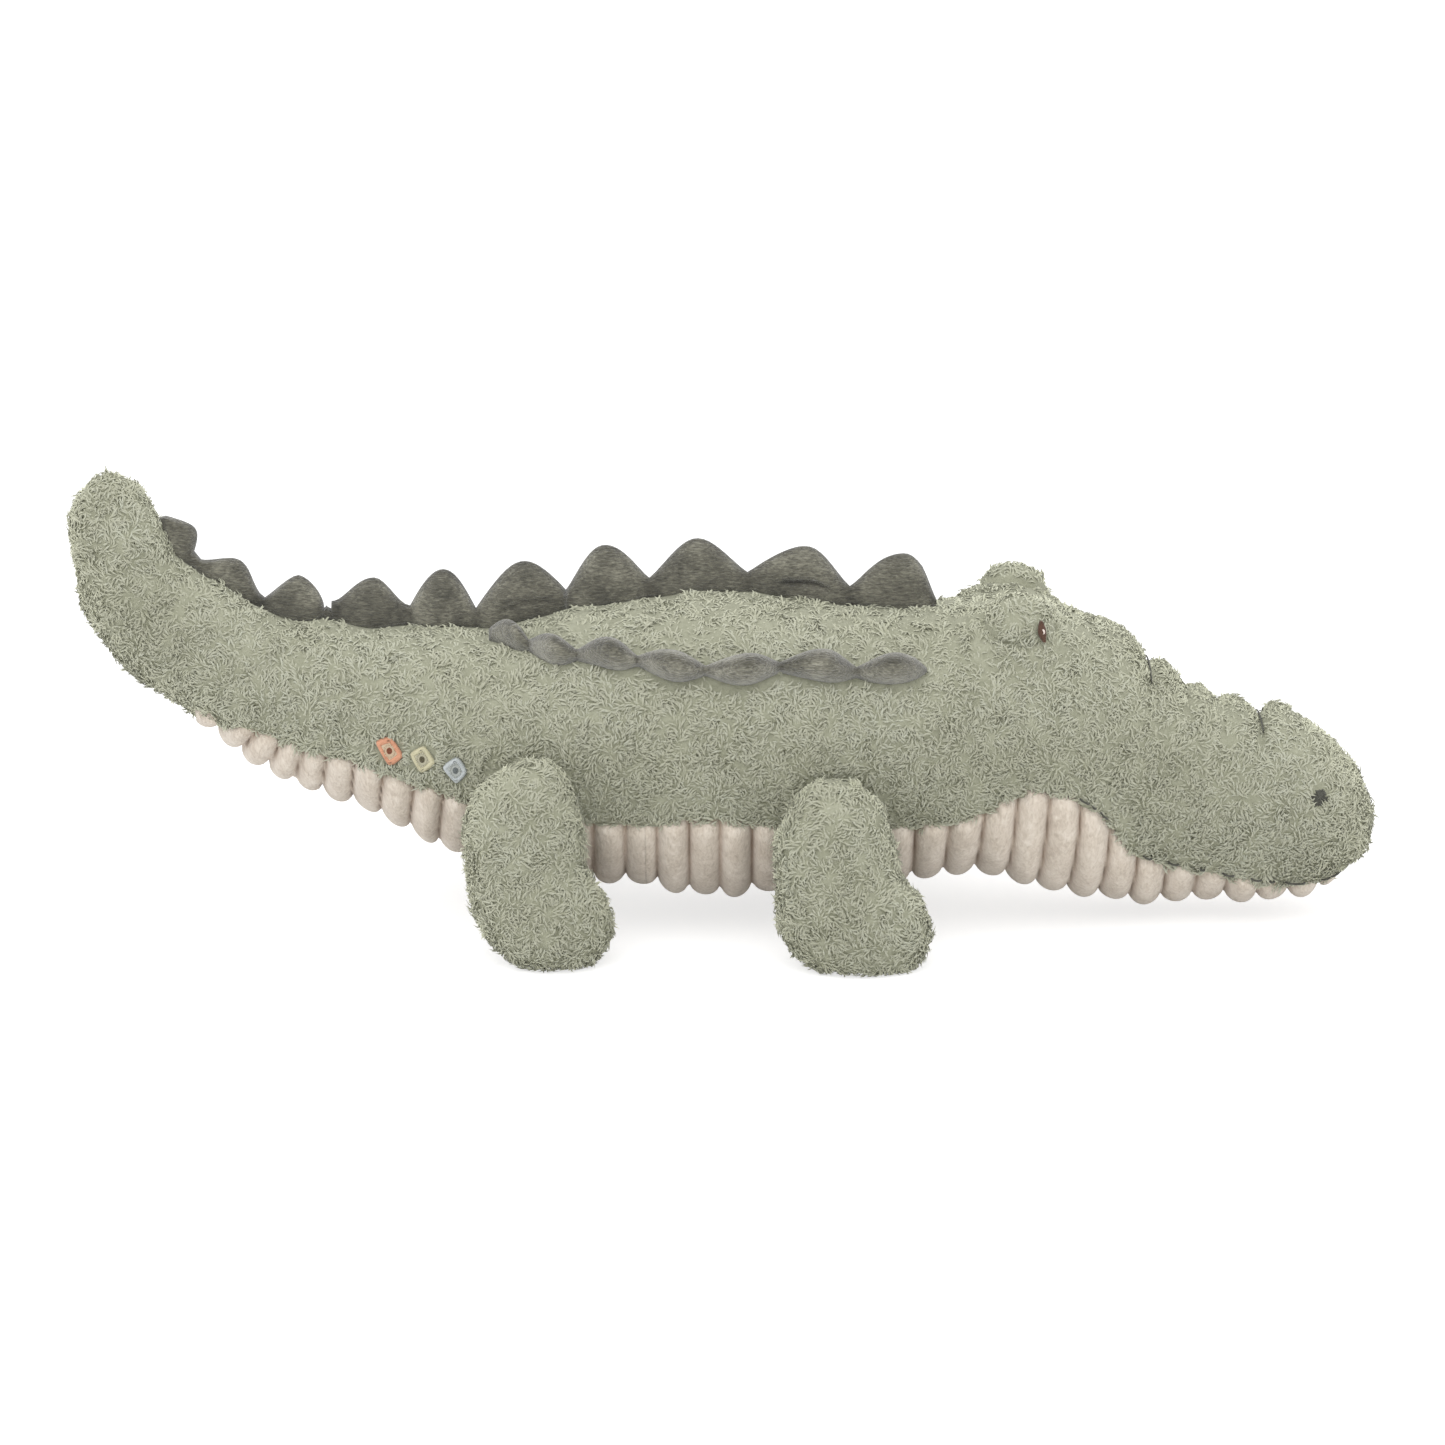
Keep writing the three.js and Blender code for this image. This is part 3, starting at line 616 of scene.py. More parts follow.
# The ribs are spaced along the toy's lowest line, from a little behind the panel
low_start = panel_start - 0.03
low_places = np.linspace(low_start, panel_end, 400)
low_line = toy_point(low_places, np.full_like(low_places, -math.pi / 2))
low_run = np.concatenate([[0], np.cumsum(np.linalg.norm(np.diff(low_line, axis=0), axis=1))])
for half, bend, _ in halves:
    begin = panel_start - rib_pitch if half == "rear" else body_split
    end = body_split if half == "rear" else panel_end
    count = round((end - begin) / rib_pitch * samples_per_rib)
    places = begin + np.arange(count + 1) * rib_pitch / samples_per_rib
    phase = np.interp(places, low_places, low_run / rib_pitch)
    sway = 0.05 * np.sin(around(panel_sides) * 2 + 0.6) * np.sin(places * 31)[:, None]
    height = body_rings(places, panel_sides, 0.0)[..., 2]
    lean = np.interp(places, rib_lean_places, rib_leans)[:, None]
    phase = phase[:, None] + sway - lean * (height - height.min(axis=1, keepdims=True)) / rib_pitch
    across = np.abs(2 * (phase - np.floor(phase)) - 1)
    groove = 1 - (1 - np.clip(across, 0, 0.995) ** rib_roundness) ** (1 / rib_roundness)
    swell = rib_swell * np.sin(np.floor(phase) * 2.4 + 1.0)
    rings = body_rings(places, panel_sides, rib_depth * groove - swell * (1 - groove))
    deeper = body_rings(places, panel_sides, tuck_under + backing_inset)
    hidden = ease((seam_side(rings) + panel_tuck_margin) / panel_tuck_fade)[..., None]
    rings = rings * (1 - hidden) + deeper * hidden
    # Painted shade: the grooves between the ribs are darkened towards the velour's crease tint.
    piece = loft(f"{half}_ribbed_panel", rings, ease((groove - 0.3) / 0.6))
    sew(piece, velour, bend, panel_nodes[half])


# Curled pile: tufts of soft fibre, knitted into the backing and steamed so that they
# curl over and lie in drifts. Each lock here is a closed three-sided strand.

lock_segments = 2
lock_length = 0.0053
lock_half_width = 0.00054
lock_half_depth = 0.00034
locks_per_area = 820000
tuft_size = 0.0056
tuft_pull = 0.4
table_clearance = 0.0010
tint_width = 0.02
map_margin = 0.02

# How far a lock's shading follows the skin under it, and how much more so on top
soft_share = 0.42
soft_share_above = 0.36

# Waves that give the tuft in each cell a middle of its own, unlike its neighbours'
tuft_waves = np.array([[12.9, 39.3, 73.2], [78.2, 11.1, 27.7], [37.7, 93.9, 51.3]])
tuft_wave_height = 43758.5

# Tests for places with no pile, and threads that part it: their place and reach
bare_spots = []
partings = []


def coherent(points, scale, shift):
    """Smooth noise from -1 to 1 at each point."""
    moved = points * scale + shift
    return np.array([noise.noise(Vector(point)) for point in moved])


def scatter(point_at, places, angles, random):
    """Evenly spread points on a surface, and its normals there."""
    place, angle = np.meshgrid(places, angles, indexing="ij")
    grid = point_at(place, angle)
    across = grid[1:, 1:] - grid[:-1, :-1]
    slant = grid[1:, :-1] - grid[:-1, 1:]
    area = np.linalg.norm(np.cross(across, slant), axis=-1) / 2
    count = np.floor(area * locks_per_area + random.random(area.shape)).astype(int)
    row, column = np.nonzero(count)
    repeats = count[row, column]
    row, column = np.repeat(row, repeats), np.repeat(column, repeats)
    place = places[row] + random.random(len(row)) * (places[row + 1] - places[row])
    angle = angles[column] + random.random(len(row)) * (angles[column + 1] - angles[column])
    step_place, step_angle = 0.0004, 0.006
    first = point_at(place + step_place, angle) - point_at(place - step_place, angle)
    second = point_at(place, angle + step_angle) - point_at(place, angle - step_angle)
    return point_at(place, angle), unit(np.cross(second, first))


def pile_locks(name, roots, normals, random):
    """One mesh of tapered, curled locks of fibre, each a closed three-sided strand."""
    count = len(roots)
    drift = 0.7 * coherent(roots, 62.0, 3.1) + 0.6 * coherent(roots, 170.0, 9.7)
    heading = 2 * math.pi * drift + random.normal(0, 0.45, count)
    helper = np.where(np.abs(normals[:, :1]) < 0.9, [[1.0, 0, 0]], [[0, 0, 1.0]])
    first = unit(np.cross(normals, helper))
    second = np.cross(normals, first)
    cell = np.floor(roots / tuft_size)
    spread = np.sin(cell @ tuft_waves) * tuft_wave_height
    tuft_middle = (cell + 0.5 + 0.5 * (spread - np.floor(spread) - 0.5)) * tuft_size
    pull = (tuft_middle - roots) / tuft_size
    fluff = coherent(roots, 170.0, 6.1)
    reach = lock_length * (random.uniform(0.78, 1.16, count) + 0.25 * fluff)
    start = random.uniform(0.35, 1.05, count) - 0.6 * fluff
    start = start + 0.4 * np.clip(normals[:, 2], 0, 1)
    bend = random.uniform(0.95, 2.0, count)
    twist = 0.8 + 2.4 * coherent(roots, 140.0, 1.3) + random.normal(0, 0.35, count)
    steps = np.linspace(0, 1, lock_segments + 1)
    centres = [roots]
    directions = []
    sides = []
    for step in steps:
        turn = heading + twist * step
        lying = np.cos(turn)[:, None] * first + np.sin(turn)[:, None] * second + tuft_pull * pull
        for centre, radius in partings:
            away = roots - centre
            distance = np.linalg.norm(away, axis=1)
            apart = ease(1.7 - distance / radius)[:, None]
            lying = lying * (1 - apart) + 1.5 * apart * unit(away)
        lying = unit(lying - np.einsum("ij,ij->i", lying, normals)[:, None] * normals)
        tilt = (start + bend * step)[:, None]
        directions.append(np.cos(tilt) * normals + np.sin(tilt) * lying)
        sides.append(np.cross(normals, lying))
    for step in range(lock_segments):
        travel = (directions[step] + directions[step + 1]) / 2
        centres.append(centres[-1] + travel * (reach / lock_segments)[:, None])
    girth = random.uniform(0.8, 1.2, count)[:, None]
    swell = np.interp(steps, [0, 0.35, 0.7, 1], [0.75, 1.0, 0.8, 0.0])
    rings = []
    for step in range(lock_segments):
        over = np.cross(directions[step], sides[step])
        for corner in range(3):
            turn = corner * 2 * math.pi / 3 + math.pi / 6
            rings.append(
                centres[step]
                + sides[step] * girth * lock_half_width * swell[step] * math.cos(turn)
                + over * girth * lock_half_depth * swell[step] * math.sin(turn)
            )
    points = np.stack(rings + [centres[-1]], axis=1)
    height = points[..., 2]
    pressed = table_clearance * np.exp(np.minimum(height - table_clearance, 0) / table_clearance)
    points[..., 2] = np.where(height < table_clearance, pressed, height)
    tint = 0.5 + 0.28 * coherent(roots, 26.0, 5.3) + random.normal(0, 0.16, count)
    made = lock_mesh(name, points, np.clip(tint, tint_width, 1 - tint_width), steps)
    plain = np.empty(len(made.data.vertices) * 3, np.float32)
    made.data.vertices.foreach_get("normal", plain)
    skin = np.repeat(normals, points.shape[1], axis=0)
    share = soft_share + soft_share_above * np.clip(skin[:, 2:], 0, 1)
    soft = (1 - share) * plain.reshape(-1, 3) + share * skin
    made.data.normals_split_custom_set_from_vertices(unit(soft).tolist())
    return made


def lock_mesh(name, points, tint, steps):
    """Builds the strands' faces and their OFBake map: tint across and root to tip up."""
    count, size = points.shape[:2]
    pattern, across, up = [], [], []
    for ring in range(lock_segments - 1):
        for corner in range(3):
            a, b = ring * 3 + corner, ring * 3 + (corner + 1) % 3
            pattern += [[a, b, b + 3], [a, b + 3, a + 3]]
            across += [[-1, 1, 1], [-1, 1, -1]]
            up += [[ring, ring, ring + 1], [ring, ring + 1, ring + 1]]
    final = (lock_segments - 1) * 3
    for corner in range(3):
        pattern.append([final + corner, final + (corner + 1) % 3, size - 1])
        across.append([-1, 1, 0])
        up.append([lock_segments - 1, lock_segments - 1, lock_segments])
    pattern.append([2, 1, 0])
    across.append([-1, 0, 1])
    up.append([0, 0.3, 0])
    pattern = np.array(pattern)
    faces = (pattern[None] + (np.arange(count) * size)[:, None, None]).reshape(-1, 3)
    mesh = bpy.data.meshes.new(name)
    mesh.vertices.add(count * size)
    mesh.vertices.foreach_set("co", points.astype(np.float32).ravel())
    mesh.loops.add(len(faces) * 3)
    mesh.loops.foreach_set("vertex_index", faces.astype(np.int32).ravel())
    mesh.polygons.add(len(faces))
    mesh.polygons.foreach_set("loop_start", np.arange(0, len(faces) * 3, 3, dtype=np.int32))
    mesh.update(calc_edges=True)
    mesh.shade_smooth()
    place = np.array(up).ravel() / lock_segments
    u = tint[:, None] + np.array(across).ravel()[None] * tint_width * 0.9
    v = np.broadcast_to(map_margin + (1 - 2 * map_margin) * place[None], u.shape)
    layer = mesh.uv_layers.new(name="OFBake")
    layer.data.foreach_set("uv", np.stack([u, v], axis=-1).astype(np.float32).ravel())
    return add_object(name, mesh)


def pile_finish():
    """Green-grey fibre with drifts of tint, darker and greener at the root and paler at the tip as
    painted shade among the fibres.
    """
    pile, tree, shader = new_finish("curled_pile", {
        "Roughness": 0.85,
        "Specular IOR Level": 0.2,
        "Sheen Weight": 1.0,
        "Sheen Roughness": 0.6,
        "Sheen Tint": linear(232, 233, 208),
    })
    place = add_node(tree, "ShaderNodeUVMap", uv_map="OFBake")
    split = add_node(tree, "ShaderNodeSeparateXYZ")
    tint = ramp(tree, [
        (0.0, linear(179, 179, 161)),
        (0.5, linear(190, 190, 174)),
        (1.0, linear(200, 202, 189)),
    ])
    # Painted shade: the colour darkens and greens towards the root of each lock, where shade falls
    # among the fibres.
    depth = ramp(tree, [
        (0.0, (0.66, 0.67, 0.60, 1)),
        (0.45, (0.68, 0.685, 0.65, 1)),
        (1.0, (0.70, 0.70, 0.685, 1)),
    ])
    mixed = add_node(tree, "ShaderNodeMix", data_type="RGBA", blend_type="MULTIPLY", Factor=1.0)
    join(tree, (place, "UV", split, 0), (split, "X", tint, "Fac"), (split, "Y", depth, "Fac"))
    join(tree, (tint, "Color", mixed, 6), (depth, "Color", mixed, 7))
    join(tree, (mixed, 2, shader, "Base Color"))
    return pile


curled_pile = pile_finish()
root_inset = backing_inset + 0.0004
full_turn = np.linspace(0, 2 * math.pi, 190)


def open_pile(points):
    """True away from the threads that are sewn through the pile."""
    clear = np.ones(points.shape[:-1], bool)
    for centre, radius in partings:
        clear &= np.linalg.norm(points - centre, axis=-1) > radius
    return clear


def pile_allowed(points):
    """True where the pile grows: over the seam and off the sewn-on pieces."""
    allowed = (seam_side(points) > 0.0004) & open_pile(points)
    for covers in bare_spots:
        allowed &= ~covers(points)
    return allowed


# Legs: four short padded limbs of the same pile, stuffed and sewn on at the hip so
# that they swing a little.

leg_thickness = 0.050
leg_sink = 0.010
foot_spread_share = 0.16
hip_height_share = 0.79
leg_swings = np.radians([-15, -7.5, 0, 7.5, 15])
leg_gap = 0.0012
least_half = 0.0005
sole_sink = 0.0005
under_leg_margin = 0.006
hip_margin = 0.001

# Height up the leg, shift forward, length and thickness there, as shares
hind_leg_shares = np.array([
    [0.000, 0.150, 0.380, 0.40],
    [0.030, 0.144, 0.650, 0.70],
    [0.135, 0.115, 0.900, 0.94],
    [0.262, 0.065, 1.000, 1.00],
    [0.358, 0.014, 0.950, 0.98],
    [0.474, -0.040, 0.870, 0.94],
    [0.641, -0.058, 0.885, 0.90],
    [0.817, -0.053, 0.740, 0.76],
    [0.925, 0.000, 0.480, 0.52],
    [0.990, 0.020, 0.160, 0.18],
])
front_leg_shares = np.array([
    [0.000, 0.210, 0.420, 0.40],
    [0.035, 0.155, 0.760, 0.74],
    [0.190, 0.111, 1.000, 0.96],
    [0.350, 0.066, 0.975, 1.00],
    [0.485, 0.007, 0.857, 0.96],
    [0.695, -0.025, 0.780, 0.88],
    [0.860, -0.016, 0.610, 0.72],
    [0.950, -0.025, 0.390, 0.46],
    [0.990, -0.030, 0.170, 0.20],
])
legs = [
    {
        "name": "hind", "shares": hind_leg_shares, "hip": -0.143 * toy_length,
        "height": 0.0952, "length": 0.066,
    },
    {
        "name": "front", "shares": front_leg_shares, "hip": 0.087 * toy_length,
        "height": 0.0871, "length": 0.071,
    },
]

# The sign of y on each side, and its name
hands = ((-1, "right"), (1, "left"))


def flank_at(x, z):
    """Half width of the body at points seen from the side, and 0 off the body."""
    middle, half_width, half_height = (along(sections, x, column) for column in (2, 4, 5))
    left = np.clip(1 - np.abs((z - middle) / half_height) ** roundness, 0, 1)
    return half_width * left ** (1 / roundness)


def leg_room(leg, x, z):
    """Half width that the trunk sweeps past a leg's points while the leg swings."""
    hip_z = hip_height_share * leg["height"]
    widest = np.zeros_like(x)
    for swing in leg_swings:
        dx, dz = x - leg["hip"], z - hip_z
        turned_x = leg["hip"] + dx * math.cos(swing) - dz * math.sin(swing)
        turned_z = hip_z + dx * math.sin(swing) + dz * math.cos(swing)
        widest = np.maximum(widest, flank_at(turned_x, turned_z))
    return widest


def leg_point(leg, side, rise, angle, inset, flat=True):
    """Points on a leg, moved inwards, laid flat where it meets the flank."""
    shares = leg["shares"]
    held = np.clip(rise, 0, shares[-1, 0])
    forward, reach, girth = (along(shares, held, column) for column in (1, 2, 3))
    flank = along(sections, np.full_like(held, leg["hip"]), 4)
    middle = flank - leg_sink + leg_thickness / 2 + (0.5 - held) * foot_spread_share * leg_thickness
    half_reach = np.maximum(reach * leg["length"] / 2 - inset, least_half)
    half_girth = np.maximum(girth * leg_thickness / 2 - inset, least_half)
    x = leg["hip"] + forward * leg["length"] + np.cos(angle) * half_reach
    y = middle + np.sin(angle) * half_girth
    z = np.clip(held * leg["height"] - sole_sink, inset * 0.5, leg["height"] - sole_sink - inset)
    if flat:
        y = np.maximum(y, leg_room(leg, x, z) + leg_gap)
    return np.stack([x, side * y, z], axis=-1)


leg_angles = around(64)
leg_rises = np.concatenate([[0.0, 0.006, 0.016], np.linspace(0.03, 0.95, 40), [0.97, 0.985, 0.99]])
rise, angle = np.meshgrid(leg_rises, leg_angles, indexing="ij")
inner_rise, inner_angle = rise[3:-4:4, ::3], angle[3:-4:4, ::3]
leg_grid = np.linspace(0, 0.99, 60), np.linspace(0, 2 * math.pi, 90)
for number, leg in enumerate(legs):
    for side, hand in hands:
        body = f"{leg['name']}_{hand}_leg"
        piece = loft(f"{body}_skin_cloth", leg_point(leg, side, rise, angle, backing_inset))
        sew(piece, backing, body, (f"{body}_skin",))
        inner = leg_point(leg, side, inner_rise, inner_angle, filling_inset * 0.8)
        piece = loft(f"{body}_stuffing", inner)
        sew(piece, fibre_fill, body, (f"{body}_filling",))
        random = np.random.default_rng(40 + 2 * number + (side > 0))
        outer = lambda rise, angle: leg_point(leg, side, rise, angle, root_inset, flat=False)
        roots, normals = scatter(outer, *leg_grid, random)
        free = np.abs(roots[:, 1]) > leg_room(leg, roots[:, 0], roots[:, 2]) + hip_margin
        leg_middle = np.array([leg["hip"], side * 0.085, 0.045])
        outward = np.sign(np.einsum("ij,ij->i", normals, roots - leg_middle))
        normals = normals * outward[:, None]
        piece = pile_locks(f"{body}_pile", roots[free], normals[free], random)
        sew(piece, curled_pile, body)


def under_leg(points):
    """True on the flank where a leg lies against it."""
    covered = np.zeros(points.shape[:-1], bool)
    for leg in legs:
        rise = np.clip((points[..., 2] + sole_sink) / leg["height"], 0, 0.99)
        forward, reach = (along(leg["shares"], rise, column) for column in (1, 2))
        offset = np.abs(points[..., 0] - leg["hip"] - forward * leg["length"])
        beside = offset < reach * leg["length"] / 2 - under_leg_margin
        covered |= beside & (points[..., 2] < leg["height"] - under_leg_margin)
    return covered


bare_spots.append(under_leg)


# Eye bumps: two small domes of the same pile on top of the head, each a round patch
# padded with fibre and sewn down along its edge.

bare_bump_margin = 0.004


def bump_point(side, turn, lift, inset=0.0):
    """Points on an eye bump, from its front end at lift 0 to its rear end at pi."""
    half = eye_bump_half - inset
    girth = np.sin(lift)
    offset = [
        half[0] * np.cos(lift),
        half[1] * girth * np.cos(turn),
        half[2] * girth * np.sin(turn),
    ]
    return bump_centre(side) + np.stack(offset, axis=-1)


def on_bump(points):
    """True on the crown where an eye bump covers it."""
    covered = np.zeros(points.shape[:-1], bool)
    for side in (-1, 1):
        offset = (points - bump_centre(side)) / (eye_bump_half - bare_bump_margin)
        covered |= (offset**2).sum(axis=-1) < 1
    return covered


def inside_toy(points, margin):
    """True for points inside the body's outline, less a margin."""
    middle, half_width, half_height = (along(sections, points[:, 0], column) for column in (2, 4, 5))
    across = np.abs(points[:, 1]) / (half_width - margin)
    up = np.abs(points[:, 2] - middle) / (half_height - margin)
    return across**roundness + up**roundness < 1


bare_spots.append(on_bump)
bump_lifts = np.linspace(0.05, math.pi - 0.05, 22)
lift, turn = np.meshgrid(bump_lifts, around(36), indexing="ij")
for side, hand in hands:
    piece = loft(f"{hand}_eye_bump_cloth", bump_point(side, turn, lift, backing_inset))
    sew(piece, backing, "head", (f"{hand}_eye_bump",))


# Eyes: a narrow almond on each bump, filled with close brown thread, with a pale
# stitch for the glint.

eye_turn = math.radians(57)
eye_lift = math.radians(1)
eye_lean = math.radians(11)
eye_length = 0.0100
eye_breadth = 0.0036
eye_rows = 24
eye_sink = 0.0006
eye_roundness = 1.7
strand_radius = 0.00030
strand_overlap = 0.0003
strand_rise = 0.0009
glint_length = 0.0027
glint_drop = 0.0011
glint_rise = 0.0011
glint_radius = 0.00022
eye_parting = 0.0030


def tube(path, radius, sides=6):
    """Rings of a thread of a given radius along a path."""
    path = np.asarray(path, float)
    along_path = unit(np.gradient(path, axis=0))
    guide = np.array([0.0, 0.0, 1.0]) if abs(along_path[0, 2]) < 0.8 else np.array([1.0, 0.0, 0.0])
    first = unit(np.cross(along_path, guide))
    second = np.cross(along_path, first)
    turns = around(sides)
    wide = np.broadcast_to(radius, len(path))[:, None, None]
    cosine, sine = np.cos(turns)[None, :, None], np.sin(turns)[None, :, None]
    return path[:, None] + wide * (cosine * first[:, None] + sine * second[:, None])


def stitch(start, end, out, rise, radius, steps=7):
    """A thread that comes up at one point, lies over the cloth and goes down at another."""
    share = np.linspace(0, 1, steps)[:, None]
    arch = np.sin(math.pi * share) ** 0.5
    return tube(start + (end - start) * share + out * (rise * arch - 0.0006 * (1 - arch)), radius)


def thread_finish(name, dark, light):
    """Twisted embroidery thread with a soft gloss."""
    thread, tree, shader = new_finish(name, {
        "Roughness": 0.62,
        "Specular IOR Level": 0.3,
        "Sheen Weight": 0.15,
    })
    nap = add_node(
        tree, "ShaderNodeGroup", node_tree=short_nap, Stretch=(1, 1, 1), Patch=300.0, Fibre=2600.0
    )
    shade = ramp(tree, [(0.36, dark), (0.64, light)])
    bump = add_node(tree, "ShaderNodeBump", Strength=0.6, Distance=0.0003)
    join(tree, (nap, "Height", shade, "Fac"), (shade, "Color", shader, "Base Color"))
    join(tree, (nap, "Fine", bump, "Height"), (bump, "Normal", shader, "Normal"))
    return thread


brown_thread = thread_finish("brown_thread", linear(62, 42, 32), linear(100, 70, 54))
glint_thread = thread_finish("glint_thread", linear(206, 190, 180), linear(240, 228, 220))
for side, hand in hands:
    out = np.array([
        math.cos(eye_lift) * math.cos(eye_turn),
        side * math.cos(eye_lift) * math.sin(eye_turn),
        math.sin(eye_lift),
    ])
    centre = bump_centre(side) + out * (eye_bump_half - eye_sink)
    across = unit(np.cross([0.0, 0.0, 1.0], out)) * -side
    up = np.cross(across, out) * side
    up = up * np.sign(up[2])
    tall = math.cos(eye_lean) * up - math.sin(eye_lean) * across
    wide = math.cos(eye_lean) * across + math.sin(eye_lean) * up
    rows = []
    for level in np.linspace(-0.97, 0.97, eye_rows):
        half = eye_breadth / 2 * (1 - abs(level) ** eye_roundness)
        middle = centre + tall * level * eye_length / 2
        arm = wide * (half + strand_overlap)
        rows.append(shell(stitch(middle - arm, middle + arm, out, strand_rise, strand_radius)))
    piece = mesh_piece(f"{hand}_eye_stitches", rows)
    sew(piece, brown_thread, "head", (f"{hand}_eye",))
    glint = []
    for shift in (-0.0002, 0.0002):
        low = centre + wide * (shift - 0.0003) - tall * glint_drop + out * 0.0006
        high = low + tall * glint_length
        glint.append(shell(stitch(low, high, out, glint_rise, glint_radius)))
    sew(mesh_piece(f"{hand}_eye_glint", glint), glint_thread, "head")
    partings += [(centre + tall * shift, eye_parting) for shift in (-0.0028, 0.0, 0.0028)]


# Pile of the eye bumps: the same curled locks, standing out all round each dome and
# leaning into the pile of the crown at its foot.

bump_grid = np.linspace(0.02, math.pi - 0.02, 30), np.linspace(0, 2 * math.pi, 50)
for side, hand in hands:
    random = np.random.default_rng(60 + (side > 0))
    outer = lambda lift, turn: bump_point(side, turn, lift, root_inset)
    roots, _ = scatter(outer, *bump_grid, random)
    normals = unit((roots - bump_centre(side)) / eye_bump_half**2)
    free = ~inside_toy(roots, 0.0004 - bump_fillet * near_bump(roots)) & open_pile(roots)
    blended = unit(normals[free] + 0.8 * near_foot(roots[free])[:, None] * toy_normal(roots[free]))
    piece = pile_locks(f"{hand}_eye_bump_pile", roots[free], blended, random)
    sew(piece, curled_pile, "head")


# Nostrils: a small star of dark thread on each side of the nose, stitched through the
# snout by hand and pulled tight, so that it lies in a dimple.

nostril_x = 0.2730
nostril_z = 0.0640
nostril_half_length = 0.0045
nostril_half_height = 0.0042
nostril_strand_radius = 0.00042
nostril_strands = 15
nostril_parting = 0.0037
dark_thread = thread_finish("dark_thread", linear(52, 52, 46), linear(84, 84, 75))


def round_to(angle, side):
    """Angle round the body, counted from the side that a piece is sewn to."""
    return angle if side > 0 else math.pi - angle


def flank_point(x, z, side, inset=0.0):
    """Point of the outline at a place and height, seen from the side."""
    low, high = np.full(np.shape(x), -1.5), np.full(np.shape(x), 1.5)
    for _ in range(26):
        middle = (low + high) / 2
        above = toy_point(x, round_to(middle, side), inset)[..., 2] > z
        high = np.where(above, middle, high)
        low = np.where(above, low, middle)
    return toy_point(x, round_to((low + high) / 2, side), inset)


def flank_frame(x, z, side, inset=0.0):
    """A point on the flank, with directions forward, up and out of the cloth."""
    step = 0.0015
    xs = np.array([x, x + step, x - step, x, x])
    zs = np.array([z, z, z, z + step, z - step])
    points = flank_point(xs, zs, side, inset)
    forward = unit(points[1] - points[2])
    up = points[3] - points[4]
    up = unit(up - forward * (up @ forward))
    out = np.cross(forward, up)
    return points[0], forward, up, out * np.sign(out[1]) * side


for side, hand in hands:
    random = np.random.default_rng(80 + (side > 0))
    centre, forward, up, out = flank_frame(nostril_x, nostril_z, side, backing_inset)
    strands = []
    for turn in np.linspace(0, math.pi, nostril_strands, endpoint=False):
        arm = math.cos(turn) * forward * nostril_half_length + math.sin(turn) * up * nostril_half_height
        arm = arm * random.uniform(0.5, 1.15)
        rise = random.uniform(0.0002, 0.0010)
        strands.append(shell(stitch(centre - arm, centre + arm, out, rise, nostril_strand_radius)))
    piece = mesh_piece(f"{hand}_nostril_stitches", strands)
    sew(piece, dark_thread, "head", (f"{hand}_nostril",))
    partings.append((centre, nostril_parting))


# Mouth: dashes of dark thread along each side of the lip, worked by hand just over the
# seam of pile and velour, and half sunk in the pile.

lip_lift = 0.0032
mouth_sink = 0.0022
mouth_strand_radius = 0.0005
mouth_parting = 0.0011

# Start and end of each dash along the length
mouth_dashes = [
    (0.1621, 0.1663), (0.1680, 0.1695), (0.1719, 0.1751), (0.1927, 0.1964),
    (0.2047, 0.2093), (0.2192, 0.2212), (0.2297, 0.2348), (0.2431, 0.2477),
    (0.2520, 0.2538), (0.2593, 0.2685), (0.2764, 0.2857),
]
for side, hand in hands:
    dashes = []
    for start, end in mouth_dashes:
        x = np.linspace(start, end, 7)
        line = flank_point(x, seam_height(x) + lip_lift, side, -0.0006)
        out = unit(line * np.array([0, 1, 0]))
        sunk = (1 - np.sin(np.linspace(0, math.pi, 7)) ** 0.4)[:, None]
        dashes.append(shell(tube(line - out * mouth_sink * sunk, mouth_strand_radius)))
        partings += [(point, mouth_parting) for point in line[1::2]]
    piece = mesh_piece(f"{hand}_mouth_stitches", dashes)
    sew(piece, dark_thread, "head", (f"{hand}_mouth_stitching",))


# Tuck threads: two dark threads stitched over the snout by hand and drawn tight, one at
# each end of the tucks.

# Each thread's name, its tuck and how far it reaches down each side, in degrees
tuck_threads = [("rear_tuck", tuck_place_shares[0], 28), ("front_tuck", tuck_place_shares[-1], 25)]
tuck_strand_radius = 0.0004
tuck_parting = 0.0014
for name, share, reach in tuck_threads:
    span = np.radians(np.linspace(90 - reach, 90 + reach, 21))
    line = toy_point(np.full_like(span, share * toy_length), span, 0.0004)
    piece = mesh_piece(f"{name}_thread", [shell(tube(line, tuck_strand_radius))])
    sew(piece, dark_thread, "head", (f"{name}_stitch",))
    partings += [(point, tuck_parting) for point in line[::2]]


# Diamonds: three small embroidered ornaments on the right flank, each a satin-stitched
# band round a paler field, with a ring of seed stitches and a knot in the middle.

# Name, place, height, corners right and down of the middle in steps of corner_scale,
# and colours: the band's dark and light, the field and the knot
diamond_table = [
    (
        "orange", -0.1511, 0.0896, [(-13.5, -8.2), (1.0, -14.0), (12.8, 4.8), (-0.6, 15.2)],
        linear(186, 130, 101), linear(214, 160, 130), linear(196, 176, 150), linear(132, 76, 50),
    ),
    (
        "yellow", -0.1361, 0.0864, [(-12.8, -4.4), (1.5, -13.2), (12.9, 2.4), (-1.8, 13.6)],
        linear(176, 170, 138), linear(200, 196, 168), linear(176, 172, 150), linear(92, 86, 64),
    ),
    (
        "blue", -0.1210, 0.0824, [(-13.0, -2.0), (2.0, -13.2), (11.2, 1.8), (0.2, 13.6)],
        linear(166, 172, 172), linear(194, 199, 200), linear(172, 176, 172), linear(112, 118, 118),
    ),
]
corner_scale = 0.00052
band_inside = 0.52
corner_cut = 0.13
thread_pitch = 0.00042
satin_rise = 0.0008
satin_radius = 0.00030
seed_count = 14
seed_ring = (0.0024, 0.0030)
seed_half_length = 0.0003
seed_rise = 0.0007
seed_radius = 0.00028
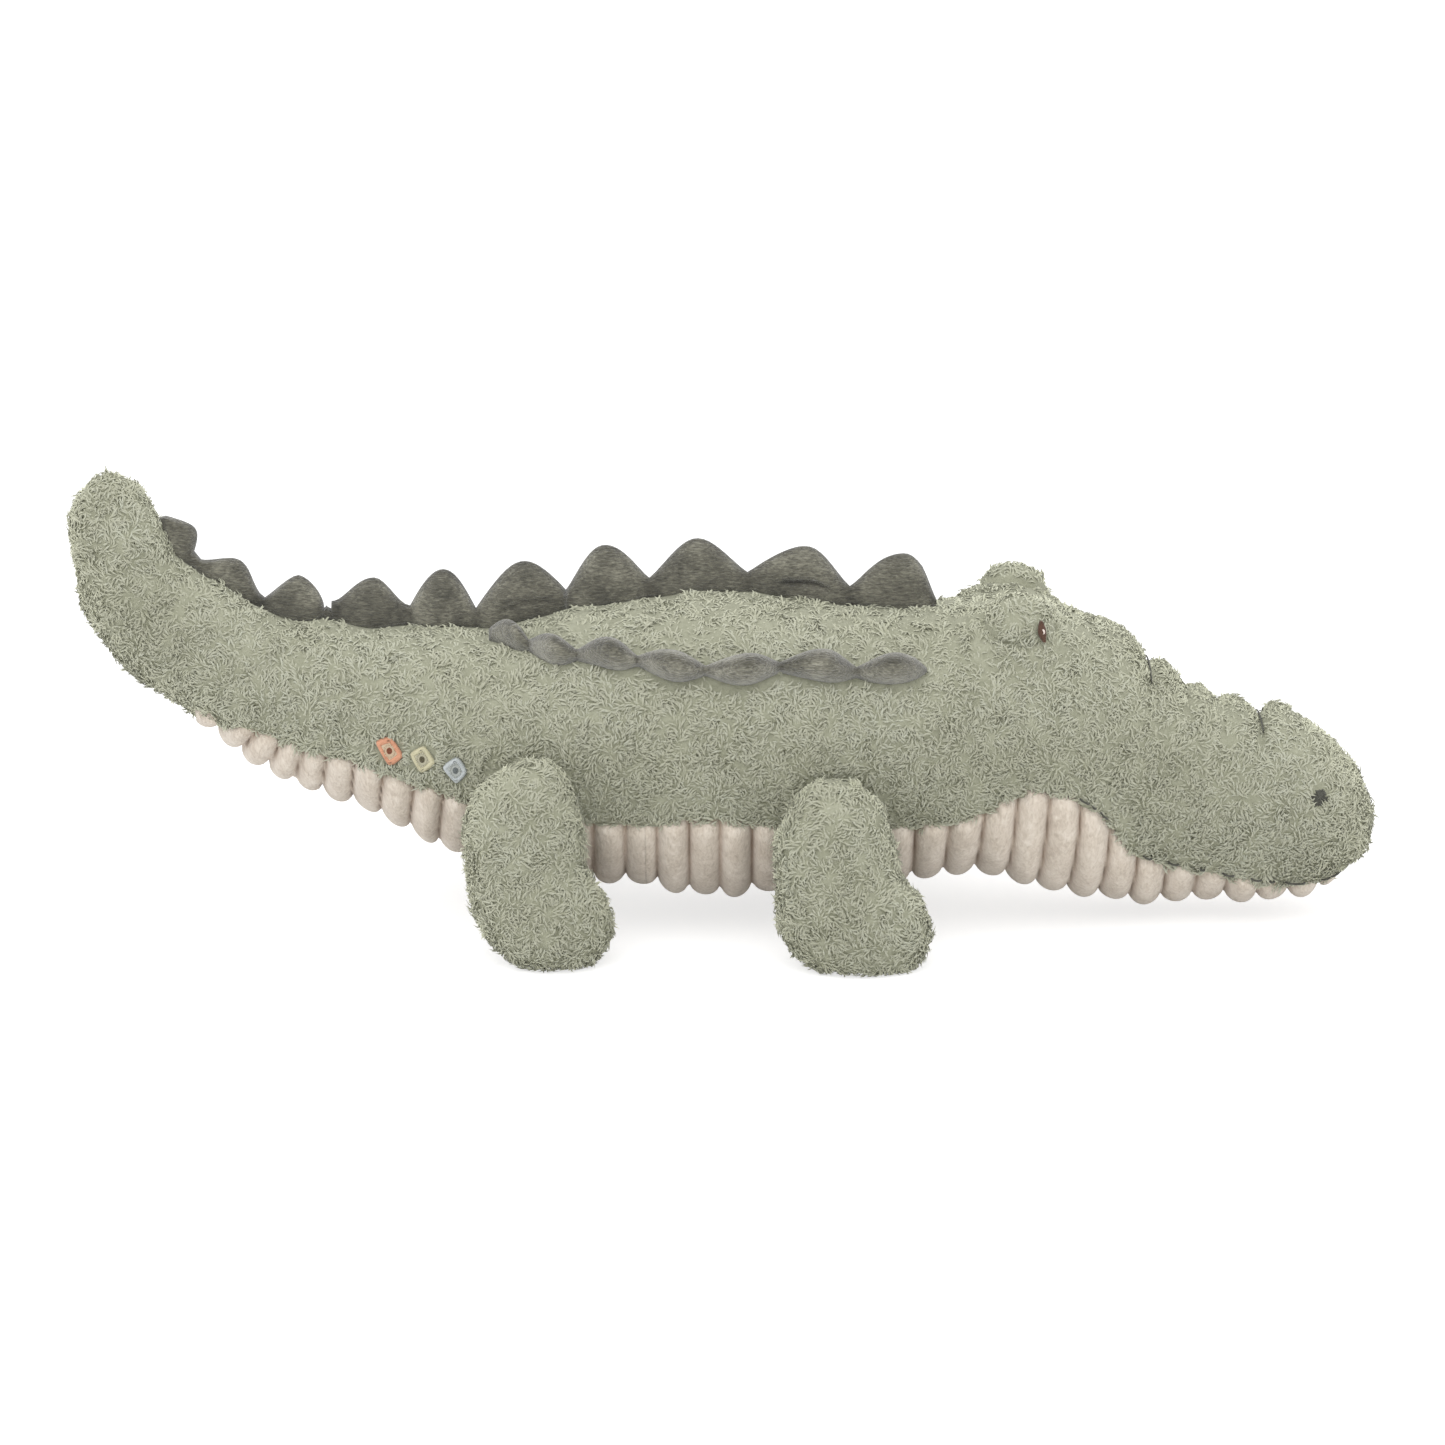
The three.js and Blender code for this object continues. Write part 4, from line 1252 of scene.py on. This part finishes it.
knot_coils = ((0.0010, 0.0006), (0.0004, 0.0009))
knot_thread_radius = 0.00038
diamond_sink = 0.0010
diamond_parting = 0.0055

# Share of the diamond's size and height over the cloth, from the field's hidden foot up
field_levels = ((0.5, -0.0028), (0.86, -0.0026), (0.88, -0.0004), (0.7, 0.0004), (0.4, 0.0006))


def dimmed(colour, share):
    """A darker tone of a colour."""
    return (*(share * value for value in colour[:3]), 1)


for name, x, z, corners, dark, light, pale, knot_colour in diamond_table:
    satin = thread_finish(f"{name}_thread", dark, light)
    field = thread_finish(f"{name}_field", dimmed(pale, 0.92), pale)
    knotted = thread_finish(f"{name}_knot", dimmed(knot_colour, 0.7), knot_colour)
    centre, forward, up, out = flank_frame(x, z, -1, 0.0016)
    outer = np.array([
        centre + forward * right * corner_scale - up * down * corner_scale for right, down in corners
    ])
    middle = outer.mean(axis=0)
    satin_rows = []
    for index in range(4):
        a, b = outer[index], outer[(index + 1) % 4]
        count = round(np.linalg.norm(b - a) / thread_pitch)
        for share in (np.arange(count) + 0.5) / count:
            spoke = a + (b - a) * share - middle
            far = middle + spoke * (1 - corner_cut * abs(2 * share - 1) ** 3)
            near = middle + spoke * band_inside
            satin_rows.append(shell(stitch(far, near, out, satin_rise, satin_radius, steps=6)))
    piece = mesh_piece(f"{name}_diamond_band", satin_rows)
    sew(piece, satin, tail_bend, (f"{name}_diamond",))
    patch = np.array([
        [corner * share + middle * (1 - share) + out * height for corner in outer]
        for share, height in field_levels
    ])
    sew(mesh_piece(f"{name}_diamond_field", [shell(patch)]), field, tail_bend)
    seeds = []
    for turn in around(seed_count):
        reach = math.cos(turn) * forward * seed_ring[0] + math.sin(turn) * up * seed_ring[1]
        spot = middle + reach + out * 0.0004
        half = (-math.sin(turn) * forward + math.cos(turn) * up) * seed_half_length
        seeds.append(shell(stitch(spot - half, spot + half, out, seed_rise, seed_radius, steps=5)))
    sew(mesh_piece(f"{name}_diamond_seeds", seeds), field, tail_bend)
    coil = []
    turns = around(16)[:, None]
    for radius, height in knot_coils:
        loop = radius * (np.cos(turns) * forward + 1.25 * np.sin(turns) * up)
        loop = middle + out * height + loop
        closed = np.concatenate([loop[-1:], loop, loop[:1]])
        coil.append(shell(tube(closed, knot_thread_radius)[1:-1], hoop=True))
    sew(mesh_piece(f"{name}_diamond_knot", coil), knotted, tail_bend)
    partings.append((middle - out * diamond_sink, diamond_parting))


# Back and tail ridge: two layers of grey velboa sewn along a wavy edge, turned,
# lightly stuffed hump by hump, and sewn upright along the spine.

ridge_thickness = 0.012
ridge_height = 0.024
strip_sink = 0.005
waist_share = 0.55
hump_steps = 18

# Each hump: start, apex and end along the toy, height and steepness
back_ridge_shares = [
    (-0.3000, -0.2620, -0.2370, 0.86, 1.90),
    (-0.2370, -0.2135, -0.1890, 1.00, 1.00),
    (-0.1890, -0.1560, -0.1200, 1.03, 0.95),
    (-0.1200, -0.0905, -0.0560, 1.04, 1.20),
    (-0.0560, -0.0205, 0.0190, 0.89, 1.15),
    (0.0190, 0.0650, 0.0975, 0.90, 1.15),
    (0.0975, 0.1390, 0.1640, 0.95, 1.15),
]
tail_ridge_shares = [
    (-0.526, -0.499, -0.474, 0.47, 0.90),
    (-0.462, -0.428, -0.390, 0.45, 1.25),
    (-0.388, -0.371, -0.332, 0.76, 1.10),
    (-0.332, -0.315, -0.2980, 0.14, 1.00),
]
back_valley_share = 0.26
tail_valley_share = 0.10

# Folds across a hump's foot on the right, dented and darkened with painted shade: place, reach and
# depth
ridge_gapes = ((-0.150, 0.024, 0.45), (0.063, 0.020, 1.0))
gape_level = 0.24
# The velboa's crease tint is painted shade in pinches, folds and on the scutes' upper cheeks, and the
# colour of the dark seam line along the sewn edge.
velboa_nap = {
    "stretch": (0.25, 1, 1), "patch": 60.0, "fibre": 1300.0, "sheen": 0.6, "depth": 0.0012,
    "painted_shade_tint": (0.42, 0.41, 0.39, 1), "spread": 0.13,
}
velboa = nap_cloth("grey_velboa", ((56, 55, 46), (92, 90, 78), (136, 134, 119)), **velboa_nap)


def hump_height(hump, place, valley, peak):
    """Height of a hump over its line at each place."""
    start, apex, end, share, steepness = hump
    rise = (place / toy_length - start) / (apex - start)
    fall = (end - place / toy_length) / (end - apex)
    climb = np.clip(np.minimum(rise, fall), 0, 1)
    return peak * (valley + (share - valley) * np.sin(math.pi / 2 * climb) ** steepness)


def upright_cheeks(share):
    """Share of a ridge's thickness at a share of its height."""
    return (1 - share**2.2) ** 0.75 * (0.78 + 0.42 * share)


def strip_rings(
    humps, valley, peak, thickness, line,
    waist=waist_share, cheeks=upright_cheeks, round_end=True, painted_upper_shade=0.0, gapes=(),
):
    """Rings of a padded strip and its painted shade and seam line: a foot under the pile, a sewn edge
    on top.
    """
    levels = np.concatenate([[-strip_sink / peak], np.linspace(0, 0.88, 12), [0.94, 0.98]])
    share = np.clip(levels, 0, 1)
    gape_row = np.exp(-(((share - gape_level) / 0.06) ** 2))
    edge = ease((share - 0.9) / 0.08)
    rings, seam_lines_and_shade = [], []
    for index, hump in enumerate(humps):
        places = np.linspace(hump[0], hump[2], hump_steps + 1) * toy_length
        if index < len(humps) - 1:
            places = places[:-1]
        height = hump_height(hump, places, valley, peak)
        if index == len(humps) - 1 and round_end:
            left_over = hump_steps - np.arange(hump_steps + 1)
            height = height * np.minimum(1, left_over / 2.5) ** 0.6
        foot, up, across = line(places)
        low = valley * peak
        for spot in range(len(places)):
            tall = height[spot]
            full = waist + (1 - waist) * max(tall - low, 0) / (peak - low)
            full = thickness / 2 * full * min(1, 0.3 + tall / low)
            width = full * cheeks(share) * np.where(levels < 0, 0.8, 1)
            rise = np.where(levels < 0, levels * peak, levels * tall)
            place = places[spot] / toy_length
            near = [depth * math.exp(-(((place - x) / span) ** 4)) for x, span, depth in gapes]
            gape = sum(near) * gape_row
            middle = foot[spot] + rise[:, None] * up[spot]
            left = middle - (width * (1 - 0.6 * gape))[:, None] * across[spot]
            right = middle + width[:, None] * across[spot]
            top = foot[spot] + tall * up[spot]
            rings.append(np.concatenate([left, top[None], right[::-1]]))
            # Painted shade: darker at the pinches between humps, in the folds at a hump's foot and on
            # the upper cheek of the scutes; a dark seam line along the sewn edge.
            pinch_shade = 0.8 * np.clip(1 - max(tall - low, 0) / (0.35 * (peak - low)), 0, 1)
            seam_line_and_shade = np.maximum(0.75 * edge, pinch_shade)
            left_fold, right_fold = np.maximum(seam_line_and_shade, 1.3 * gape), np.maximum(seam_line_and_shade, painted_upper_shade)
            seam_lines_and_shade.append(np.concatenate([left_fold, [0.75], right_fold[::-1]]))
    return np.array(rings), np.array(seam_lines_and_shade)


def spine_line(places):
    """Foot of a ridge along the spine, with directions up and across."""
    foot = toy_point(places, np.full_like(places, math.pi / 2))
    lean = along(sections, places, 3)
    up = np.stack([np.sin(lean), np.zeros_like(lean), np.cos(lean)], axis=-1)
    return foot, up, np.broadcast_to([0.0, 1.0, 0.0], up.shape)


rear_humps = [hump for hump in back_ridge_shares if hump[2] * toy_length < body_split]
front_humps = [hump for hump in back_ridge_shares if hump[2] * toy_length >= body_split]
ridge_pieces = [
    ("tail_ridge_padding", "tail", tail_ridge_shares, tail_valley_share, ("tail_ridge",)),
    ("rear_ridge_padding", tail_bend, rear_humps, back_valley_share, ()),
    ("back_ridge_padding", "trunk", front_humps, back_valley_share, ("back_ridge",)),
]
for name, holder, humps, valley, nodes in ridge_pieces:
    rings, seam_lines_and_shade = strip_rings(
        humps, valley, ridge_height, ridge_thickness, spine_line,
        round_end=humps is front_humps, gapes=ridge_gapes,
    )
    sew(loft(name, rings, seam_lines_and_shade), velboa, holder, nodes)


def under_ridge(points):
    """True along the spine where a ridge stands."""
    x = points[..., 0] / toy_length
    top = points[..., 2] > along(sections, points[..., 0], 2) + 0.02
    narrow = np.abs(points[..., 1]) < 0.0045
    return narrow & top & (x > -0.40) & (x < back_ridge_shares[-1][2])


bare_spots.append(under_ridge)


# Scutes: a lower, softer padded strip of paler velboa along each flank, sewn in humps,
# turned, lightly stuffed and stitched to the pile along its foot.

scute_shares = [
    (-0.178, -0.160, -0.147, 0.80, 0.90),
    (-0.147, -0.128, -0.110, 0.90, 1.05),
    (-0.110, -0.083, -0.064, 1.00, 1.10),
    (-0.064, -0.036, -0.013, 1.02, 1.10),
    (-0.013, 0.018, 0.043, 1.04, 1.15),
    (0.043, 0.078, 0.101, 1.06, 1.15),
    (0.101, 0.129, 0.154, 1.00, 1.00),
]
scute_shades = ((62, 61, 50), (108, 106, 92), (156, 154, 139))
scute_velboa = nap_cloth("pale_velboa", scute_shades, **velboa_nap)
scute_height = 0.0110
scute_thickness = 0.0130
scute_valley_share = 0.22
scute_waist_share = 0.30

# Place along the length and angle up from the side, as a share of a quarter turn
scute_line_shares = np.array([
    [-0.178, 0.822],
    [-0.165, 0.778],
    [-0.130, 0.606],
    [-0.086, 0.525],
    [-0.037, 0.442],
    [0.015, 0.422],
    [0.071, 0.472],
    [0.128, 0.469],
    [0.154, 0.467],
])


def scute_angle(place):
    """Angle round the body at which a scute strip is sewn on."""
    return along(scute_line_shares, place / toy_length, 1) * math.pi / 2


def flank_line(side):
    """The line of a scute strip: its foot on the flank, with directions up and across."""
    def line(places):
        angle = scute_angle(places)
        foot = toy_point(places, round_to(angle, side))
        up = np.stack([np.zeros_like(angle), side * np.cos(angle), np.sin(angle)], axis=-1)
        across = np.stack([np.zeros_like(angle), -side * up[:, 2], side * up[:, 1]], axis=-1)
        return foot, up, across
    return line


def lens_cheeks(share):
    """Share of a scute's thickness at a share of its height."""
    return np.sqrt(np.clip(1 - ((share - 0.2) / 0.8) ** 2, 0, 1))


def under_scute(points):
    """True on the flank where a scute lies over the pile."""
    place = points[..., 0]
    turn = scute_angle(place)
    foot = toy_point(place, np.where(points[..., 1] > 0, turn, math.pi - turn))
    offset = np.abs(points[..., 1] - foot[..., 1])
    within = (place > scute_shares[0][0] * toy_length) & (place < scute_shares[-1][2] * toy_length)
    lump = np.zeros_like(place)
    for start, _, end, _, _ in scute_shares:
        across = (place / toy_length - (start + end) / 2) / ((end - start) / 2)
        lump = np.maximum(lump, np.sqrt(np.clip(1 - across**2, 0, 1)))
    return within & (offset < 0.0034 * lump) & (points[..., 2] > 0.08)


bare_spots.append(under_scute)
# Each scute's upper cheek is darkened as painted shade.
for side, hand in hands:
    rings, seam_lines_and_shade = strip_rings(
        scute_shares, scute_valley_share, scute_height, scute_thickness, flank_line(side),
        waist=scute_waist_share, cheeks=lens_cheeks, painted_upper_shade=0.35,
    )
    piece = loft(f"{hand}_scute_padding", rings, seam_lines_and_shade)
    sew(piece, scute_velboa, "trunk", (f"{hand}_scute_strip",))


# Pile of the body: the curled locks that cover tail, back, head and snout, knitted in
# one with the skin. It is laid in bands.

bands = [
    ("tail_tip_pile", tail_tip - 0.9 * end_dome, -0.250, tail_bend),
    ("tail_root_pile", -0.250, -0.165, tail_bend),
    ("rump_pile", -0.165, -0.095, tail_bend),
    ("back_pile", -0.095, body_split, tail_bend),
    ("shoulder_pile", body_split, 0.045, neck_bend),
    ("neck_pile", 0.045, 0.115, neck_bend),
    ("head_pile", 0.115, 0.194, neck_bend),
    ("snout_pile", 0.194, nose_tip + 0.9 * end_dome, neck_bend),
]
for number, (name, start, end, bend) in enumerate(bands):
    random = np.random.default_rng(10 + number)
    on_body = lambda place, angle: toy_point(place, angle, root_inset)
    grid = np.linspace(start, end, max(int((end - start) / 0.002), 4))
    roots, normals = scatter(on_body, grid, full_turn, random)
    free = pile_allowed(roots)
    piece = pile_locks(name, swollen(roots[free]), normals[free], random)
    sew(piece, curled_pile, bend)
